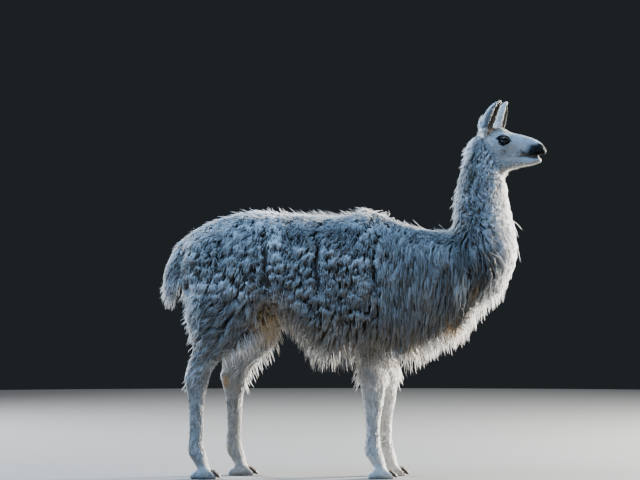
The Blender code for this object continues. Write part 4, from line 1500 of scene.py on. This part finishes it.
def growShort(name, points, normals, length, width, lift, comb, rng, part):
    # short hair: flat tapering tufts that follow the skin
    steps = 4
    line = np.zeros((len(points), steps, 3))
    away = np.zeros((len(points), steps, 3))
    wander = ripple(points, 0.02, 95) * 0.25 + rng.normal(size=len(points)) * 0.16
    place, normal = points.copy(), normals.copy()
    for step in range(steps):
        t = step / (steps - 1)
        line[:, step] = place + normal * (lift * t ** 1.3 - 0.0008 * (1 - t))[:, None]
        away[:, step] = normal
        if step < steps - 1:
            way = comb(place, normal)
            side = np.cross(normal, way)
            way = way * np.cos(wander)[:, None] + side * np.sin(wander)[:, None]
            place, normal = under.nearest(place + way * (length / (steps - 1))[:, None])
    _, across, upward = lineFrames(line, away)
    tone = rng.normal(size=len(points)) * 0.6 + 0.2
    marks = (tone, hairMark(points), hairTint(points, normals), sootAndShadeAt(points, normals))
    facts = {fact: values[:, None] for fact, values in zip(("tone", "darkness", "tint", "sootAndShade"), marks)}
    bake = bakePlaces(points, part)
    joinedTubes(name, line, across, upward, 3, width, (0.35, 2), bake, hairLook, flat=0.5, **facts)


def growHeadHair(middles, rng):
    face = faceAmount(middles) * (middles[:, 2] < 1.482) * (middles[:, 2] > 1.2)
    head = (face > 0.12).astype(float)
    muzzle = 1 + 1.2 * smoothstep(0.66, 0.74, middles[:, 0])
    points, normals = under.scatter(shortGrain["face"], rng, head * muzzle)
    local = headPlaces(points)
    # none grow in the eyes, the nostrils or the mouth
    clear = np.ones(len(points), dtype=bool)
    for side in (-1, 1):
        u, v, w = eyePlaces(local, side)
        near = (w > -0.01) & (np.hypot(u, v) < 0.03)
        clear &= ~((lidOpening(u, v) < 1.30) & near)
        clear &= ~((lidOpening(u - 0.008, v) < 1.25) & near)
        clear &= np.linalg.norm(local - nostrilPlace(side), axis=1) > 0.0075
    clear &= (mouthDistance(local) > 0.0022) | (local[:, 0] < 0.70)
    points, normals, local = points[clear], normals[clear], local[clear]
    x, y, z = local.T
    length = 0.0065 + 0.0060 * smoothstep(0.74, 0.62, x)
    length = length + 0.012 * smoothstep(-0.01, -0.05, faceward(points))
    length += 0.012 * smoothstep(0.655, 0.615, x) * smoothstep(1.452, 1.468, z)
    beneath = smoothstep(0.0, -0.6, normals[:, 2]) * smoothstep(0.80, 0.76, x)
    length += 0.006 * beneath
    length *= rng.uniform(0.75, 1.25, len(points))
    width = (0.0007 + length * 0.045) * rng.uniform(0.8, 1.2, len(points))
    lift = 0.0008 + 0.10 * length + 0.75 * length * beneath * rng.random(len(points))
    nape = smoothstep(0.556, 0.540, x) * smoothstep(1.400, 1.415, z) * smoothstep(0.060, 0.045, np.abs(y))
    length *= 1 + 1.4 * nape
    lift += 0.012 * nape
    growShort("hairHead", points, normals, length, width, lift, headComb, rng, "head")


def growEarHair(middles, rng):
    ears = (middles[:, 2] > 1.470) & (faceAmount(middles) > 0.5) & (earAmount(middles) > 0.02)
    points, normals = under.scatter(shortGrain["ears"], rng, ears.astype(float))
    length = rng.uniform(0.010, 0.018, len(points)) * (1 - 0.35 * earInside(points, normals))
    lift = 0.0008 + length * 0.16
    growShort("hairEars", points, normals, length, length * 0.055, lift, headComb, rng, "head")


def growLegHair(middles, rng):
    legs = (middles[:, 2] < woolEnd(middles) + 0.05) & (middles[:, 2] > 0.012)
    points, normals = under.scatter(shortGrain["legs"], rng, legs.astype(float))
    z = points[:, 2]
    length = 0.011 + 0.010 * smoothstep(0.05, 0.14, z) + 0.012 * smoothstep(-0.06, 0.02, z - woolEnd(points))
    length = length * rng.uniform(0.75, 1.25, len(points))
    lift = 0.0010 + length * 0.10
    growShort("hairLegs", points, normals, length, length * 0.075, lift, legComb, rng, "leg")


def growHair():
    rng = np.random.default_rng(31)
    middles = under.points[under.corners].mean(axis=1)
    growHeadHair(middles, rng)
    growEarHair(middles, rng)
    growLegHair(middles, rng)


iris = {
    "pupil": (0.0068, 0.0040),  # half its length and half its height
    "colours": (  # from the pupil's middle to the white
        (0.30, (0.030, 0.014, 0.007)),
        (0.62, (0.016, 0.008, 0.005)),
        (0.70, (0.008, 0.006, 0.005)),
        (0.86, (0.020, 0.014, 0.012)),
    ),
}


def eyeMaterial():
    made, surface, tree = nodeMaterial("eyes", 0.08, 0.18)
    gaze = attributeOf(tree, "gaze", "Vector")
    apart = addNode(tree, "VectorMath", {0: gaze}, operation="LENGTH").outputs["Value"]
    squash = (1 / iris["pupil"][0], 1 / iris["pupil"][1], 0)
    squashed = addNode(tree, "VectorMath", {0: gaze, 1: squash}, operation="MULTIPLY").outputs["Vector"]
    pupil = addNode(tree, "VectorMath", {0: squashed}, operation="LENGTH").outputs["Value"]
    ring = ramped(tree, ranged(tree, apart, 0, eyeShape["radius"]), iris["colours"])
    streaked = mixed(tree, objectNoise(tree, 900, 2), ring, (0.35, 0.30, 0.30, 1), blend_type="MULTIPLY")
    inPupil = ranged(tree, pupil, 0.9, 1.08, 1, 0)
    setInputs(tree, surface, {
        "Coat Weight": 0.35,
        "Coat Roughness": 0.03,
        "Base Color": mixed(tree, inPupil, streaked, (0.003, 0.003, 0.004, 1)),
    })
    return made


def makeEyeball(side, name, look):
    centre, forward, upward, outward = eyeFrame(side)
    ball = bmesh.new()
    bmesh.ops.create_uvsphere(ball, u_segments=32, v_segments=20, radius=eyeShape["radius"])
    u, v, w = np.array([vertex.co for vertex in ball.verts]).T
    rise = 0.0011 * smoothstep(0.0115, 0.004, np.hypot(u, v)) * (w > 0)
    placed = centre + u[:, None] * forward + v[:, None] * upward + (w + rise)[:, None] * outward
    for vertex, place in zip(ball.verts, worldPlaces(placed)):
        vertex.co = place
    bmesh.ops.recalc_face_normals(ball, faces=ball.faces[:])
    for face in ball.faces:
        face.smooth = True
    data = meshed("eyeball" + name.title(), ball)
    gaze = data.attributes.new("gaze", "FLOAT_VECTOR", "POINT")
    facing = np.stack([u, v, np.where(w > 0, 0, 0.02)], axis=1)
    gaze.data.foreach_set("vector", facing.astype(np.float32).ravel())
    data.materials.append(look)
    piece = linked("eyeball" + name.title(), data)
    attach(piece, "root")
    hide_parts("eye_" + name)


# Each lid's lashes: its sign, the shape of its edge, how many there are, how long they are, how
# far they fall and how far they curl up again.
lashes = (
    (1, "upper", 2.2, 56, 0.014, -0.35, 0.35),
    (-1, "lower", 1.5, 26, 0.005, -0.65, 0),
)


def lashLines(side, rng):
    centre, forward, upward, outward = eyeFrame(side)
    upwardWay = worldWays(upward[None, :])
    t = np.linspace(0, 1, 5)
    made = []
    for sign, lid, power, count, reach, drop, lift in lashes:
        at = rng.uniform(-0.95, 0.95, count)
        bound = sign * eyeShape[lid] * (1 - np.abs(at) ** power)
        u, v = at * eyeShape["half"], bound + sign * 0.0008
        w = np.sqrt(np.maximum(eyeShape["radius"] ** 2 - u ** 2 - v ** 2, 0)) + eyeShape["rim"] * 0.8
        length = reach * rng.uniform(0.7, 1.2, count) * (1 - 0.25 * np.abs(at))
        sweep = (at * 0.45 - 0.25) * length
        us = u[:, None] + sweep[:, None] * t[None, :]
        fall = (drop * length)[:, None] * t[None, :]
        vs = v[:, None] + (fall + lift * length[:, None] * (t ** 2)[None, :])
        ws = w[:, None] + length[:, None] * (0.85 * t[None, :] - 0.25 * (t ** 2)[None, :])
        lines = centre + us[:, :, None] * forward + vs[:, :, None] * upward + ws[:, :, None] * outward
        placed = worldPlaces(lines.reshape(-1, 3)).reshape(lines.shape)
        made.append((placed, np.broadcast_to(upwardWay, lines.shape)))
    return made


def makeEyes():
    look = eyeMaterial()
    rng = np.random.default_rng(57)
    made = []
    for side, name in ((-1, "right"), (1, "left")):
        makeEyeball(side, name, look)
        made += lashLines(side, rng)
    line, away = (np.concatenate(parts) for parts in zip(*made))
    _, across, upward = lineFrames(line, away)
    girth = np.full(len(line), 0.00042)
    along = lockTemplate(5)[0][:, 2]
    facts = {"tone": 0.6, "darkness": 0.4, "sootAndShade": 0.72 * (1 - along)[None, :]}
    bake = bakePlaces(line[:, 0], "head")
    joinedTubes("lashes", line, across, upward, 5, girth, (0.6, 1), bake, hairLook, **facts)


nailColours = ((0.35, (0.030, 0.024, 0.020)), (0.70, (0.145, 0.115, 0.085)))


def nailMaterial():
    made, surface, tree = nodeMaterial("nails", 0.45, 0.4)
    grain = objectNoise(tree, 160, 4, (1, 1, 0.25))
    setInputs(tree, surface, {
        "Base Color": ramped(tree, grain, nailColours),
        "Roughness": ranged(tree, grain, 0.3, 0.7, 0.35, 0.60),
    })
    bumped(tree, surface, objectNoise(tree, 500, 3, (1, 1, 0.15)), 0.4, 0.0006)
    return made


def makeNails():
    names = [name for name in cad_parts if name.startswith("nail_")]
    data = fused(names, 0.0018, 4)
    data.name = "nails"
    for vertex in data.vertices:
        vertex.co.z = max(vertex.co.z, 0)
    data.materials.clear()
    data.materials.append(nailMaterial())
    for polygon in data.polygons:
        polygon.use_smooth = True
    piece = linked("nails", data)
    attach(piece, "root")
    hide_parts(*names)
    print("nail faces", len(data.polygons))


paintSkin()
growFleece()
growFringe()
report("fleece")
growHair()
makeEyes()
makeNails()
report("hair, eyes and nails")
